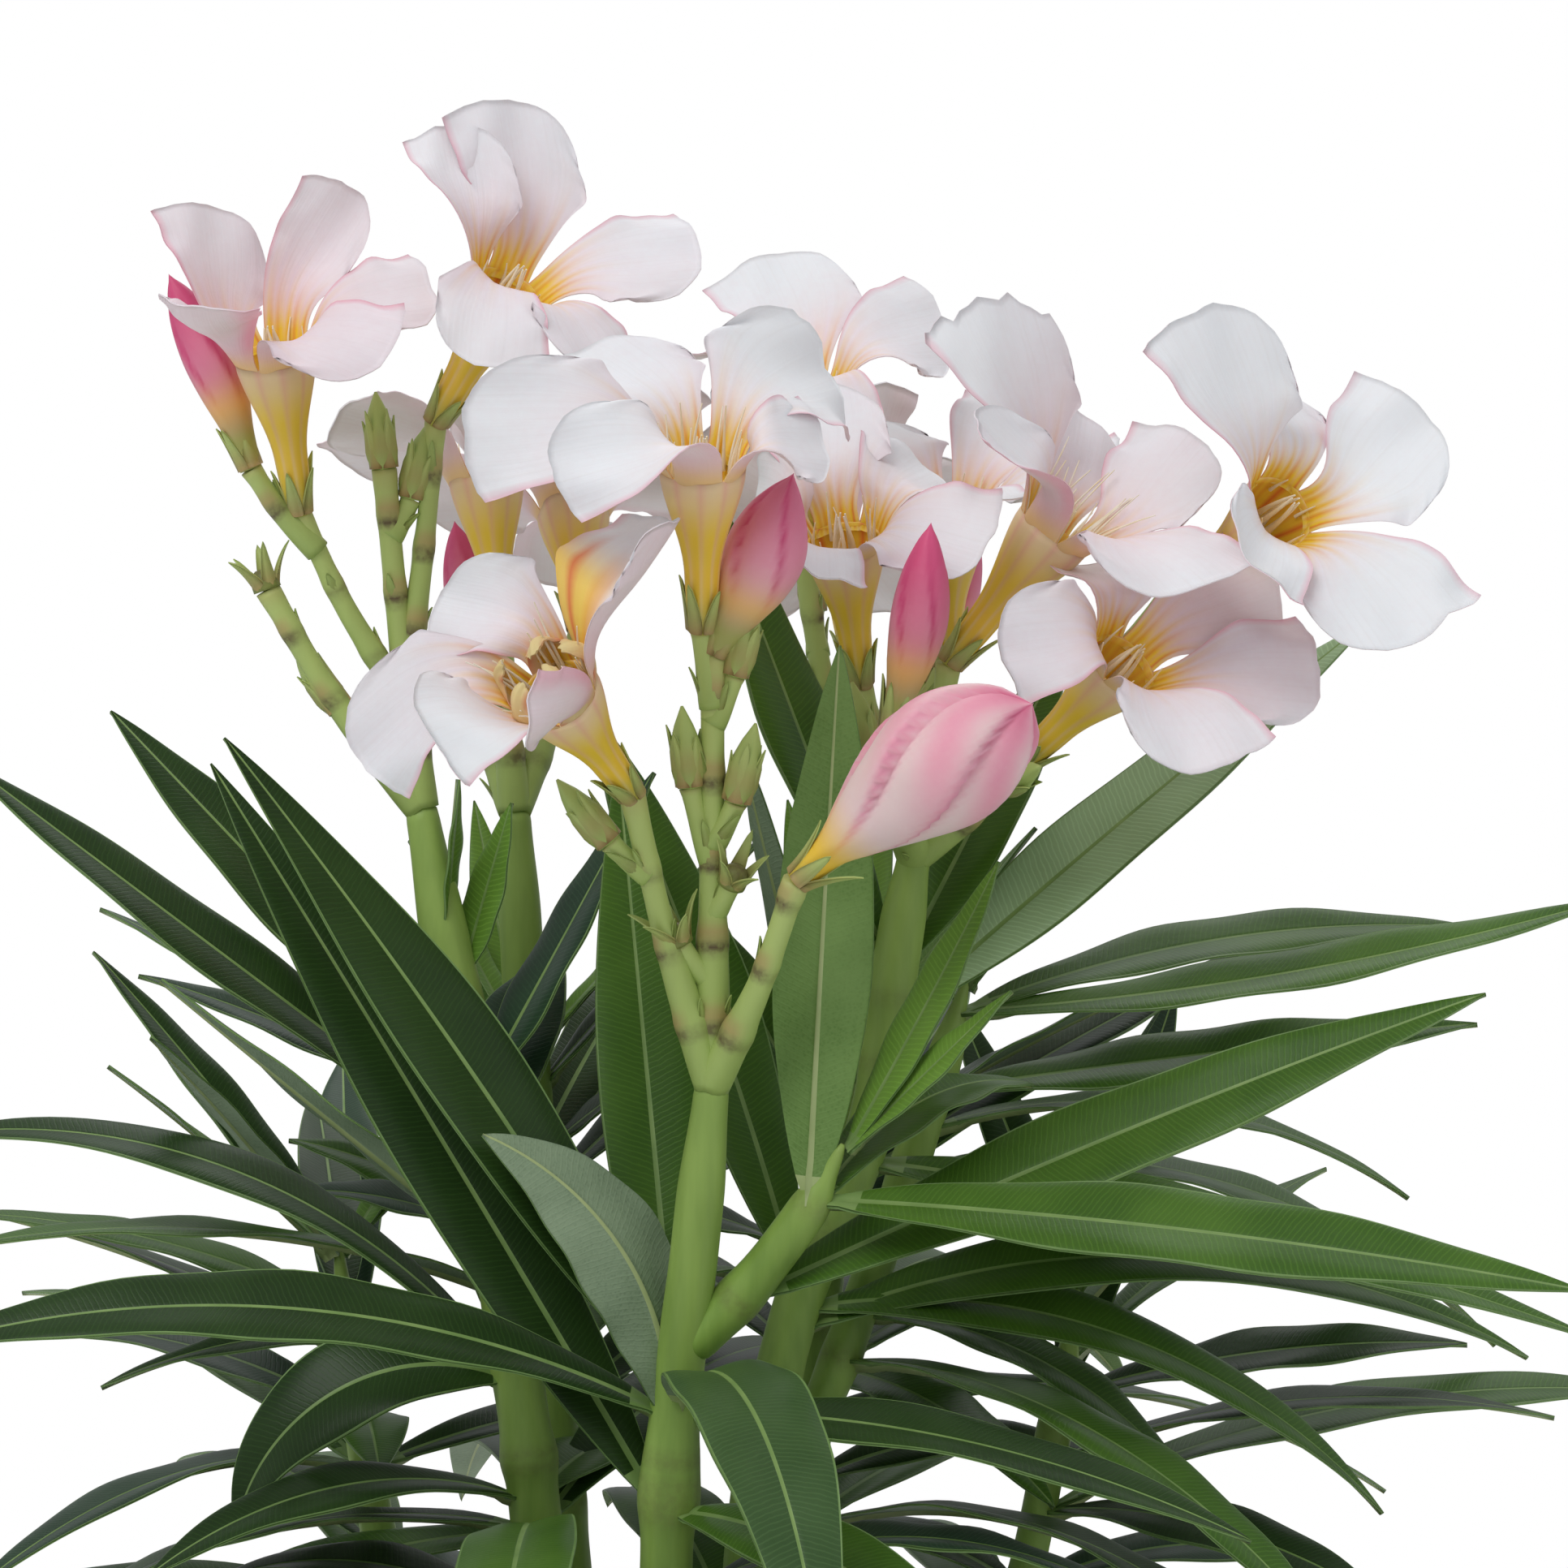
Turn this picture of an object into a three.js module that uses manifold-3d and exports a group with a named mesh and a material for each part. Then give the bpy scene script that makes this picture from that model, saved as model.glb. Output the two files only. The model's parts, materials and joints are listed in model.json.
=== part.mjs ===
// A flowering oleander in a plain clay pot, in millimetres, +Z up, standing on the pot's flat underside at the origin.
// Four woody stems rise from one root, fork into boughs, and end in leafy shoots. Five shoots carry a head of
// pale flowers. +X is the plant's right and -Y its front. Angles are in degrees: an azimuth of 0 points along +X
// and 90 along +Y, and a rise is measured up from level.
import * as THREE from "three";
import { mergeVertices } from "three/addons/utils/BufferGeometryUtils.js";
import Module from "manifold-3d";

const wasm = await Module();
wasm.setup();

// ---------------------------------------------------------------- driving sizes
const GAP = 0.3; // clearance between solids that touch
const POT = { height: 165, footRadius: 66, rimRadius: 97, bandHeight: 31, bandStep: 4.5, wall: 7, floor: 9 };
const DRAIN = { holes: 3, radius: 6, ring: 36 };
const SOIL_TOP = 147;
const FOOT = SOIL_TOP + GAP; // where the stems' flat cuts lie

const LEAF = { length: 118, width: 17, fold: 11, thickness: 1 / 85, jitter: 9 };
const CELL = 3; // edge of the cells of space that limbs and blades claim
const FREE_ROOT = 9; // a blade's first stretch, which may pass close to a limb or leaf of another shoot
const OWN_ROOT = 26; // a blade's first stretch, which may cross the other blades of its shoot
// A blade whose space is taken tries another turn, then another lift, then a shorter length.
const TURNS = [0, 12, -12, 24, -24, 36, -36];
const LIFTS = [0, 10, -10, 20];
const SHARES = [1, 0.8, 0.62];

// A flower stalk's radii: where it leaves a shoot, where it leaves another stalk, and at its end.
const TWIG = { first: 2.9, side: 2.3, end: 1.9 };
const FLOWER = {
  tube: 27, neck: 2.1, throat: 6.2, thickness: 0.9, petals: 5, petal: 27, petalWidth: 21, lean: 84, roll: 20, curl: 14,
};

// ---------------------------------------------------------------- the plant's plan
// Each limb: its name, what carries it, its radius at foot and tip, and the stations its centreline runs through.
const STEMS = [
  ["stem_front", null, 6.6, 5.0, [[7, -14, FOOT], [4, -10, 215], [0, -7, 284]]],
  ["stem_left", null, 6.2, 4.8, [[-18, -3, FOOT], [-18, 4, 220], [-21, 10, 288]]],
  ["stem_back_left", null, 6.0, 4.6, [[-10, 18, FOOT], [-12, 26, 215], [-16, 36, 278]]],
  ["stem_back_right", null, 6.2, 4.8, [[12, 13, FOOT], [11, 22, 218], [12, 32, 284]]],
];
const BOUGHS = [
  ["bough_front", "stem_front", 4.9, 4.5, [[0, -7, 284], [-2, -8.5, 308], [-3, -9, 330]]],
  ["bough_right", "stem_front", 4.4, 4.2, [[1, -8, 247], [11, 0, 284], [8, 8, 338]]],
  ["bough_right_low", "stem_front", 3.8, 3.5, [[2, -8.5, 246], [17, -22, 270], [27, -32, 298]]],
  ["bough_left", "stem_left", 4.7, 4.4, [[-21, 10, 288], [-22.5, 11.5, 314], [-23, 12, 340]]],
  ["bough_left_low", "stem_left", 3.9, 3.5, [[-19, 7.5, 256], [-36, 2, 282], [-46, -3, 312]]],
  ["bough_back_left", "stem_back_left", 4.5, 4.2, [[-16, 36, 278], [-19, 44, 312], [-22, 51, 346]]],
  ["bough_back_left_low", "stem_back_left", 3.8, 3.5, [[-13, 29, 245], [-32, 44, 274], [-44, 52, 306]]],
  ["bough_back_right", "stem_back_right", 4.7, 4.3, [[12, 32, 284], [14, 41, 318], [17, 48, 348]]],
  ["bough_back_right_low", "stem_back_right", 3.9, 3.5, [[11, 26, 250], [30, 32, 278], [42, 36, 310]]],
  ["bough_front_lowest", "stem_left", 3.4, 3.1, [[-18, 3, 203], [-23, -14, 228], [-26, -32, 254]]],
  ["bough_left_lowest", "stem_back_left", 3.4, 3.1, [[-11, 24, 196], [-34, 26, 222], [-54, 28, 252]]],
  ["bough_right_lowest", "stem_back_right", 3.4, 3.1, [[11, 21, 206], [32, 14, 228], [51, 4, 254]]],
];

// A leaf set by hand: place on its shoot, azimuth, rise, droop along its length, length, width, roll about its midrib.
// Whorls of three leaves follow the rule of grow() between two places on the shoot.
const SHOOTS = [
  {
    name: "front_shoot", on: "bough_front", radii: [4.5, 3.6],
    path: [[-3, -9, 330], [-3.5, -9, 366], [-2, -8, 395], [1, -9, 420], [4, -10, 448]],
    whorls: { from: 0.04, to: 0.2, count: 2, azimuth: 25 },
    leaves: [
      [0.5, 188, 30, 46, 122, 16, -24],
      [0.49, 182, 93, 69, 57, 18, 130],
      [0.52, -74, 42, 112, 98, 19, 0],
      [0.55, 178, 58, 8, 122, 17, -38],
      [0.55, 104, 75, 0, 100, 16, -6],
      [0.5, -20, 8, 28, 92, 16, 8],
      [0.36, 168, 66, 2, 138, 17, -40],
      [0.36, -50, 14, 52, 96, 17, 10],
    ],
  },
  {
    name: "front_side_shoot", on: "front_shoot", radii: [3.7, 3.0],
    path: [[-1, -8, 405], [9, -9, 415], [19, -11, 429], [24, -12, 439]],
    leaves: [
      [0.3, 4, 25, 6, 124, 17, 34],
      [0.68, -112, 88, -1, 86, 16, 4],
      [0.7, -6, 2, 8, 116, 17, 26],
      [0.7, 42, 44, 62, 50, 16, 0],
      [0.97, 10, 60, -4, 50, 9, 30],
      [0.97, -10, 46, 0, 36, 7, 30],
    ],
  },
  {
    name: "right_shoot", on: "bough_right", radii: [4.2, 3.7],
    path: [[8, 8, 338], [10, 12, 372], [17, 19, 404], [29, 24, 433], [33, 26, 459], [36, 27, 477]],
    whorls: { from: 0.05, to: 0.05, count: 1, azimuth: 100 },
    leaves: [
      [0.38, 8, 24, 54, 124, 17, 18],
      [0.4, -16, 11, 60, 104, 17, 14],
      [0.42, 124, 62, 16, 108, 18, 0],
      [0.56, -8, -25, 14, 120, 17, 16],
      [0.57, 74, 40, 40, 90, 17, 0],
      [0.73, 20, 38, 4, 104, 17, 26],
      [0.8, 34, 60, 0, 66, 15, 10],
      [0.8, 156, 76, 0, 108, 17, -8],
    ],
  },
  {
    name: "right_side_shoot", on: "right_shoot", radii: [3.5, 2.9],
    path: [[9, 11, 362], [24, 28, 392], [38, 36, 430], [45, 38, 454]],
    whorls: { from: 0.34, to: 0.6, count: 2, azimuth: 65, rises: [10, 30] },
    leaves: [
      [0.93, 10, 20, 26, 90, 15, 12],
      [0.93, -10, 8, -12, 110, 15, 16],
      [0.74, -8, 10, 2, 88, 16, 18],
      [0.98, 30, 62, 0, 34, 6, 0],
      [0.98, 80, 68, 0, 36, 7, 0],
    ],
  },
  {
    name: "left_shoot", on: "bough_left", radii: [4.4, 4.0],
    path: [[-23, 12, 340], [-25, 13, 368], [-28, 16, 393], [-36, 26, 440], [-44, 33, 484]],
    whorls: { from: 0.05, to: 0.26, count: 2, azimuth: 100, rises: [12, 30] },
    leaves: [
      [0.5, -165, 28, 108, 58, 18, -30],
      [0.5, 176, 54, 66, 112, 15, -6],
      [0.52, 96, 50, 30, 96, 17, 0],
      [0.7, 172, 36, 0, 104, 16, -16],
      [0.62, -176, 41, 0, 68, 15, 24],
      [0.7, 84, 46, 40, 70, 16, 0],
      [0.75, 154, 40, 0, 88, 16, -22],
      [0.84, 28, 72, 0, 30, 8, 20],
      [0.74, 34, 46, 0, 60, 14, 0],
      [0.86, 150, 80, 4, 30, 7, 20],
    ],
  },
  {
    name: "left_low_shoot", on: "bough_left_low", radii: [3.5, 2.7],
    path: [[-46, -3, 312], [-52, -8, 326], [-58, -14, 338], [-62, -18, 348]],
    whorls: { from: 0.1, to: 0.97, count: 4, azimuth: 155, rises: [6, 46] },
  },
  {
    name: "right_low_shoot", on: "bough_right_low", radii: [3.5, 2.7],
    path: [[27, -32, 298], [34, -39, 314], [40, -45, 328], [44, -49, 338]],
    whorls: { from: 0.1, to: 0.97, count: 4, azimuth: -35, rises: [6, 46] },
  },
  {
    name: "front_lowest_shoot", on: "bough_front_lowest", radii: [3.1, 2.5],
    path: [[-26, -32, 254], [-28, -42, 272], [-30, -51, 291], [-31, -56, 306]],
    whorls: { from: 0.12, to: 0.97, count: 4, azimuth: 200, rises: [4, 50] },
  },
  {
    name: "left_lowest_shoot", on: "bough_left_lowest", radii: [3.1, 2.5],
    path: [[-54, 28, 252], [-64, 30, 270], [-72, 32, 290], [-76, 33, 304]],
    whorls: { from: 0.12, to: 0.97, count: 4, azimuth: 190, rises: [4, 44] },
  },
  {
    name: "right_lowest_shoot", on: "bough_right_lowest", radii: [3.1, 2.5],
    path: [[51, 4, 254], [60, -1, 271], [68, -5, 291], [72, -7, 306]],
    whorls: { from: 0.12, to: 0.97, count: 4, azimuth: 330, rises: [4, 44] },
  },
  {
    name: "back_left_shoot", on: "bough_back_left", radii: [4.2, 3.6],
    path: [[-22, 51, 346], [-26, 58, 392], [-29, 63, 436], [-31, 66, 478]],
    whorls: { from: 0.06, to: 0.62, count: 5, azimuth: 100, rises: [14, 46] },
  },
  {
    name: "back_left_low_shoot", on: "bough_back_left_low", radii: [3.5, 2.7],
    path: [[-44, 52, 306], [-54, 60, 342], [-60, 66, 376], [-63, 69, 402]],
    whorls: { from: 0.08, to: 0.97, count: 5, azimuth: 135, rises: [8, 44] },
  },
  {
    name: "back_right_shoot", on: "bough_back_right", radii: [4.3, 3.6],
    path: [[17, 48, 348], [21, 55, 394], [24, 60, 436], [26, 63, 478]],
    whorls: { from: 0.06, to: 0.62, count: 5, azimuth: 75, rises: [14, 46] },
  },
  {
    name: "back_right_low_shoot", on: "bough_back_right_low", radii: [3.5, 2.7],
    path: [[42, 36, 310], [54, 42, 342], [61, 47, 374], [65, 50, 398]],
    whorls: { from: 0.08, to: 0.97, count: 5, azimuth: 40, rises: [8, 44] },
  },
];

// A flower head grows on a shoot's tip. Each twig: the twig it leaves (-1 is the tip), where along it, azimuth, rise,
// length, what it ends in, and the way that faces: azimuth, rise, turn about its own axis, and how open it is.
const HEADS = [
  {
    name: "front_flowers", on: "front_shoot",
    twigs: [
      [-1, 0, 85, 88, 66, "plump", -4, 66, 0, 1],
      [-1, 0, 190, 75, 47, "flower", -120, 41, 40, 0.9],
      [-1, 0, -42, 63, 38, "fat", -14, 38, 0, 1],
      [0, 0.88, -165, 82, 12, "flower", -88, 70, 8, 1],
      [0, 0.84, 10, 66, 8, "green", 10, 74, 0, 1],
      [0, 0.52, 176, 74, 12, "green", 170, 84, 0, 1],
      [0, 0.24, 196, 50, 8, "spent", 190, 66, 0, 1],
      [0, 0.4, -35, 55, 6, "spent", -40, 60, 0, 1],
      [1, 0.72, 178, 40, 8, "green", 176, 50, 0, 1],
      [0, 0.56, -25, 60, 8, "green", -10, 76, 30, 1],
    ],
  },
  {
    name: "left_flowers", on: "left_shoot",
    twigs: [
      [-1, 0, 158, 84, 55, "green", 160, 84, 0, 1],
      [-1, 0, 184, 56, 43, "spent", 170, 70, 0, 1],
      [0, 0.3, 188, 62, 36, "flower", -106, 70, 26, 0.66],
      [0, 0.36, 30, 82, 43, "flower", -40, 52, 62, 1],
      [2, 0.8, 196, 52, 17, "bud", 178, 68, 0, 1],
      [1, 0.34, 176, 52, 5, "green", 170, 52, 0, 1],
      [0, 0.8, 20, 60, 7, "green", 20, 76, 0, 1],
    ],
  },
  {
    name: "right_flowers", on: "right_shoot",
    twigs: [
      [-1, 0, -100, 42, 36, "bud", -30, 78, 0, 1],
      [-1, 0, -50, 76, 33, "flower", -14, 52, 30, 0.9],
      [-1, 0, -14, 42, 24, "flower", -46, 40, 22, 1],
      [-1, 0, 14, 44, 63, "flower", -58, 28, 52, 1],
      [-1, 0, 168, 72, 29, "flower", -104, 64, 0, 1],
      [0, 0.5, 188, 50, 8, "green", 185, 78, 0, 1],
      [2, 0.6, -70, 30, 6, "green", -60, 22, 0, 1],
    ],
  },
  {
    name: "back_left_flowers", on: "back_left_shoot",
    twigs: [
      [-1, 0, 130, 84, 30, "flower", 110, 70, 15, 1],
      [-1, 0, 62, 52, 36, "flower", 96, 44, 50, 1],
      [-1, 0, 120, 50, 22, "bud", 110, 66, 0, 1],
      [0, 0.6, 160, 56, 8, "green", 150, 70, 0, 1],
    ],
  },
  {
    name: "back_right_flowers", on: "back_right_shoot",
    twigs: [
      [-1, 0, 190, 80, 46, "flower", -90, 80, 30, 1],
      [-1, 0, 18, 54, 30, "flower", -90, 74, 0, 0.9],
      [-1, 0, 88, 46, 34, "flower", 96, 36, 20, 1],
      [0, 0.6, 100, 60, 8, "green", 100, 74, 0, 1],
      [1, 0.6, 60, 50, 8, "bud", 60, 66, 0, 1],
    ],
  },
];

// Petals set by hand, by flower head and twig. Each: azimuth, rise, length, width (below 0 for one whose pointed
// corner is on the other side), roll, and how far its tip curls back.
const PETALS = {
  left_flowers: {
    2: [
      [-105, 5, 23, 17, 34, -36], [-20, -3, 23, 19, 0, 34], [16, 2, 24, 18, 30, 0], [20, 51, 27, 14, 40, -10],
      [91, 67, 24, 20, 0, 8],
    ],
    3: [
      [110, 78, 28, 21, 0, 8], [112, 54, 25, 16, -78, -16], [-110, -58, 21, 18, 0, 16], [-48, -46, 22, 18, 0, 10],
      [8, 2, 27, 20, 10, 6],
    ],
  },
  front_flowers: {
    3: [
      [55, 22, 29, -24, 62, 8], [140, 32, 25, 20, 0, 10], [-173, -2, 34, 21, -60, -8], [-168, 0, 29, 17, -50, 10],
      [40, -8, 19, 16, 0, 10],
    ],
    1: [
      [25, 40, 28, 22, -36, -14], [143, 6, 23, 18, 0, -16], [155, -36, 32, 18, -50, 0], [-140, 16, 23, 20, -40, 24],
      [-119, -20, 17, 14, 20, -20],
    ],
  },
  right_flowers: {
    4: [
      [70, 0, 24, 20, 20, 0], [90, 50, 26, 22, 0, 10], [105, 10, 22, 17, -30, 10], [-94, -12, 18, 14, -20, 10],
      [-22, -14, 23, 19, 30, 10],
    ],
    1: [
      [-48, -18, 26, 26, 50, 24], [27, 38, 27, 21, 30, 0], [67, 41, 22, 18, 0, 10], [176, 70, 34, 22, -60, -8],
      [-170, 34, 25, 14, -40, -24],
    ],
    3: [
      [12, 42, 25, 23, 0, 8], [118, 36, 22, 18, 0, 8], [160, 70, 33, 22, -20, 0], [-125, -24, 20, 18, 0, -40],
      [-58, -36, 29, 24, 34, 18],
    ],
    2: [
      [23, 10, 26, 21, 0, 8], [104, 14, 21, 18, 0, 10], [-158, 0, 24, 18, -20, 0], [-58, -31, 26, 20, 42, 24],
      [20, -6, 29, 19, 24, 10],
    ],
  },
  back_right_flowers: {
    0: [
      [40, 0, 27, 21, 50, 0], [108, 38, 28, 23, 0, -6], [116, 0, 22, 18, 0, 10], [-108, -30, 20, 17, 0, 16],
      [-92, -38, 20, 17, 0, 16],
    ],
  },
};

const COLOURS = {
  clay: 0xb8694a, soil: 0x3b2a20, bark: 0x6f7350, green: 0x8aa845, leaf: 0x2f5a35, petal: 0xf4e6e4,
};

// ---------------------------------------------------------------- small tools
const rad = (degrees) => (degrees * Math.PI) / 180;
const vec = (p) => new THREE.Vector3(...p);
const mix = (a, b, t) => a + (b - a) * t;
const smooth = (t) => THREE.MathUtils.smoothstep(t, 0, 1);

// The unit vector of an azimuth and a rise.
function towards(azimuth, rise) {
  const [a, r] = [rad(azimuth), rad(rise)];
  return new THREE.Vector3(Math.cos(r) * Math.cos(a), Math.cos(r) * Math.sin(a), Math.sin(r));
}

// Park-Miller dice: a seed always gives the same draws, each from 0 to 1.
function dice(seed) {
  const modulus = 2147483647;
  let state = (seed * 7919 + 101) % modulus;
  const draw = () => (state = (state * 16807) % modulus) / modulus;
  draw();
  draw();
  return draw;
}

// A smooth curve through a limb's stations.
const curveOf = (stations) => new THREE.CatmullRomCurve3(stations.map(vec), false, "catmullrom", 0.5);

// A closed geometry from rings of points. Each ring has the same count, and a ring of one point closes to a tip.
function loft(rings) {
  const points = rings.flat();
  const starts = [];
  rings.reduce((at, ring) => (starts.push(at), at + ring.length), 0);
  const faces = [];
  for (let i = 0; i + 1 < rings.length; i++) {
    const [a, b, n] = [starts[i], starts[i + 1], rings[i].length];
    for (let k = 0; k < n; k++) {
      const next = (k + 1) % n;
      if (rings[i + 1].length === 1) faces.push(a + k, a + next, b);
      else faces.push(a + k, a + next, b + next, a + k, b + next, b + k);
    }
  }
  const cap = (ring, at, flip) => {
    for (let k = 1; k + 1 < ring.length; k++) faces.push(at, at + (flip ? k + 1 : k), at + (flip ? k : k + 1));
  };
  cap(rings[0], starts[0], true);
  cap(rings.at(-1), starts.at(-1), false);
  const geometry = new THREE.BufferGeometry().setFromPoints(points);
  geometry.setIndex(faces);
  return geometry;
}

// A ring of points round a centre, square to a direction, starting along `side`.
function ring(centre, side, other, radius, count) {
  return Array.from({ length: count }, (_, k) => {
    const turn = (2 * Math.PI * k) / count;
    const across = side.clone().multiplyScalar(radius * Math.cos(turn));
    return centre.clone().add(across).addScaledVector(other, radius * Math.sin(turn));
  });
}

// Two unit vectors square to a direction and to each other.
function squareTo(direction) {
  const reference = Math.abs(direction.z) < 0.9 ? new THREE.Vector3(0, 0, 1) : new THREE.Vector3(1, 0, 0);
  const side = reference.cross(direction).normalize();
  return [side, direction.clone().cross(side)];
}

// A tapering tube along a curve. Its sides don't twist, because each ring's start follows the one before.
function tube(curve, radiusAt, sides, steps) {
  let side = null;
  const rings = Array.from({ length: steps + 1 }, (_, i) => {
    const t = i / steps;
    const direction = curve.getTangent(t);
    side = side ? side.clone().projectOnPlane(direction).normalize() : squareTo(direction)[0];
    return ring(curve.getPoint(t), side, direction.clone().cross(side), radiusAt(t), sides);
  });
  return loft(rings);
}

// ---------------------------------------------------------------- solids
function solid(geometry) {
  const bare = geometry.clone();
  bare.deleteAttribute("normal");
  bare.deleteAttribute("uv");
  const merged = mergeVertices(bare, 1e-4);
  return new wasm.Manifold(
    new wasm.Mesh({
      numProp: 3,
      vertProperties: merged.attributes.position.array,
      triVerts: new Uint32Array(merged.index.array),
    }),
  );
}

// One body from many that overlap: slivers are smoothed away, and scraps and sealed hollows dropped.
const fuse = (solids) => largest(wasm.Manifold.union(solids).simplify(0.05));
const largest = (made) => made.decompose().reduce((a, b) => (a.volume() > b.volume() ? a : b));


function meshOf(name, made, colour, roughness = 0.6) {
  const { vertProperties, triVerts, numProp } = made.getMesh();
  const position = new Float32Array((vertProperties.length / numProp) * 3);
  for (let i = 0; i < position.length / 3; i++) {
    position.set(vertProperties.subarray(i * numProp, i * numProp + 3), i * 3);
  }
  const geometry = new THREE.BufferGeometry();
  geometry.setAttribute("position", new THREE.BufferAttribute(position, 3));
  geometry.setIndex(new THREE.BufferAttribute(triVerts, 1));
  geometry.computeVertexNormals();
  const mesh = new THREE.Mesh(geometry, new THREE.MeshStandardMaterial({ color: colour, roughness, metalness: 0 }));
  mesh.name = name;
  return mesh;
}

// ---------------------------------------------------------------- space
// Limbs, blades and flowers claim the cells that they pass through. A blade of another shoot keeps clear of those
// cells and of the cells next to them, and a blade of the same shoot of the cells alone.
const near = new Map();
const inside = new Map();
const cellOf = (p) => [p.x, p.y, p.z].map((x) => Math.floor(x / CELL) + 512);
const keyOf = ([i, j, k]) => (i * 1024 + j) * 1024 + k;
const AROUND = [-1, 0, 1].flatMap((i) => [-1, 0, 1].flatMap((j) => [-1, 0, 1].map((k) => [i, j, k])));

function mark(map, key, owner) {
  if (!map.has(key)) map.set(key, new Set());
  map.get(key).add(owner);
}

function claim(points, owner) {
  const cells = new Map(points.map((p) => [keyOf(cellOf(p)), cellOf(p)]));
  for (const [key, [i, j, k]] of cells) {
    mark(inside, key, owner);
    for (const [di, dj, dk] of AROUND) mark(near, keyOf([i + di, j + dj, k + dk]), owner);
  }
}

// Whether a cell is taken, for a blade of `shoot` at `run` mm from its foot.
function taken(point, shoot, run) {
  const key = keyOf(cellOf(point));
  if (run > OWN_ROOT && inside.get(key)?.has(shoot)) return true;
  return run > FREE_ROOT && [...(near.get(key) ?? [])].some((owner) => owner !== shoot);
}

// ---------------------------------------------------------------- leaves
// The blade's half width along its length, as a share of its width: a short stalk, then a lance.
const lance = (s) => 0.5 * Math.max(0.16, Math.sin(Math.PI * Math.pow(s, 0.86)) ** 0.85) * (s > 0.995 ? 0 : 1);

// The midrib, walked in short steps: at each, its place, the way across the blade and the upper face's normal.
function spine(leaf, steps) {
  const place = leaf.foot.clone();
  return Array.from({ length: steps + 1 }, (_, i) => {
    const s = i / steps;
    const [a, r, roll] = [rad(leaf.azimuth), rad(leaf.rise - leaf.droop * s), rad(leaf.roll)];
    const across = new THREE.Vector3(-Math.sin(a), Math.cos(a), 0);
    const up = new THREE.Vector3(-Math.sin(r) * Math.cos(a), -Math.sin(r) * Math.sin(a), Math.cos(r));
    const station = {
      s,
      place: place.clone(),
      across: across.clone().multiplyScalar(Math.cos(roll)).addScaledVector(up, Math.sin(roll)),
      normal: up.clone().multiplyScalar(Math.cos(roll)).addScaledVector(across, -Math.sin(roll)),
    };
    const middle = leaf.rise - leaf.droop * (s + 0.5 / steps);
    place.addScaledVector(towards(leaf.azimuth, middle), leaf.length / steps);
    return station;
  });
}

// Points all over the blade, about 2 mm apart.
function bladePoints(leaf) {
  const steps = Math.ceil(leaf.length / 2);
  const rows = Math.ceil(leaf.width / 4);
  return spine(leaf, steps).flatMap(({ s, place, across, normal }) =>
    Array.from({ length: 2 * rows + 1 }, (_, k) => {
      const v = k / rows - 1;
      const half = leaf.width * lance(s);
      const point = place.clone().addScaledVector(across, v * half * Math.cos(rad(LEAF.fold)));
      point.addScaledVector(normal, Math.abs(v) * half * Math.sin(rad(LEAF.fold)));
      return { point, run: s * leaf.length };
    }),
  );
}

// A leaf's solid: three-sided rings, with a keel below the midrib and the edges folded up.
const LEAF_STATIONS = [0, 0.2, 0.48, 0.78];
function leafSolid(leaf) {
  const steps = 50;
  const stations = spine(leaf, steps);
  const thick = Math.max(leaf.length * LEAF.thickness, 1);
  const rings = LEAF_STATIONS.map((s) => {
    const { place, across, normal } = stations[Math.round(s * steps)];
    const half = leaf.width * lance(s);
    const edge = (v) =>
      place.clone().addScaledVector(across, v * half * Math.cos(rad(LEAF.fold)))
        .addScaledVector(normal, half * Math.sin(rad(LEAF.fold)));
    return [edge(-1), place.clone().addScaledVector(normal, -thick), edge(1)];
  });
  rings.push([stations[steps].place]);
  return solid(loft(rings));
}

// Grows a shoot's leaves. Hand-set ones come first. Then come whorls of three, each turned 60 degrees from the one
// below: low leaves spread and droop, and those near the tip are shorter and stand up. A leaf whose space is taken
// is turned a little, and is left out where no turn helps.
function plan(shoot, index) {
  const leaves = (shoot.leaves ?? []).map(([t, azimuth, rise, droop, length, width, roll]) => ({
    t, azimuth, rise, droop, length, width, roll, turns: [0, 6, -6, 12, -12],
  }));
  const { from, to, count, azimuth: first, rises = [22, 68] } = shoot.whorls ?? { count: 0 };
  for (let w = 0; w < count; w++) {
    const share = count > 1 ? w / (count - 1) : 0;
    const tip = shoot.leaves ? 0 : share;
    for (let k = 0; k < 3; k++) {
      const draw = dice(index * 100 + w * 10 + k);
      leaves.push({
        t: mix(from, to, share),
        azimuth: first + 60 * w + 120 * k + LEAF.jitter * (2 * draw() - 1),
        rise: mix(...rises, tip ** 1.3) + 10 * (draw() - 0.5),
        droop: mix(58, 6, tip) + 16 * (draw() - 0.5),
        length: LEAF.length * mix(1, 0.55, tip ** 3) * mix(0.88, 1.1, draw()),
        width: LEAF.width * mix(1, 0.6, tip ** 4) * mix(0.92, 1.08, draw()),
        roll: 24 * (draw() - 0.5),
        turns: TURNS,
      });
    }
  }
  return leaves;
}

function grow(shoot, index) {
  const curve = curveOf(shoot.path);
  const grown = [];
  for (const leaf of plan(shoot, index)) {
    const radius = mix(...shoot.radii, leaf.t);
    const tries = SHARES.flatMap((share) => LIFTS.flatMap((lift) => leaf.turns.map((turn) => [share, lift, turn])));
    for (const [share, lift, turn] of tries) {
      const azimuth = leaf.azimuth + turn;
      const foot = curve.getPoint(leaf.t).addScaledVector(towards(azimuth, 0), radius * 0.35);
      const tried = { ...leaf, azimuth, foot, rise: leaf.rise + lift, length: leaf.length * share };
      const points = bladePoints(tried);
      if (points.some(({ point, run }) => taken(point, shoot.name, run))) continue;
      claim(points.map(({ point }) => point), shoot.name);
      grown.push(tried);
      break;
    }
  }
  return grown;
}

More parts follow.
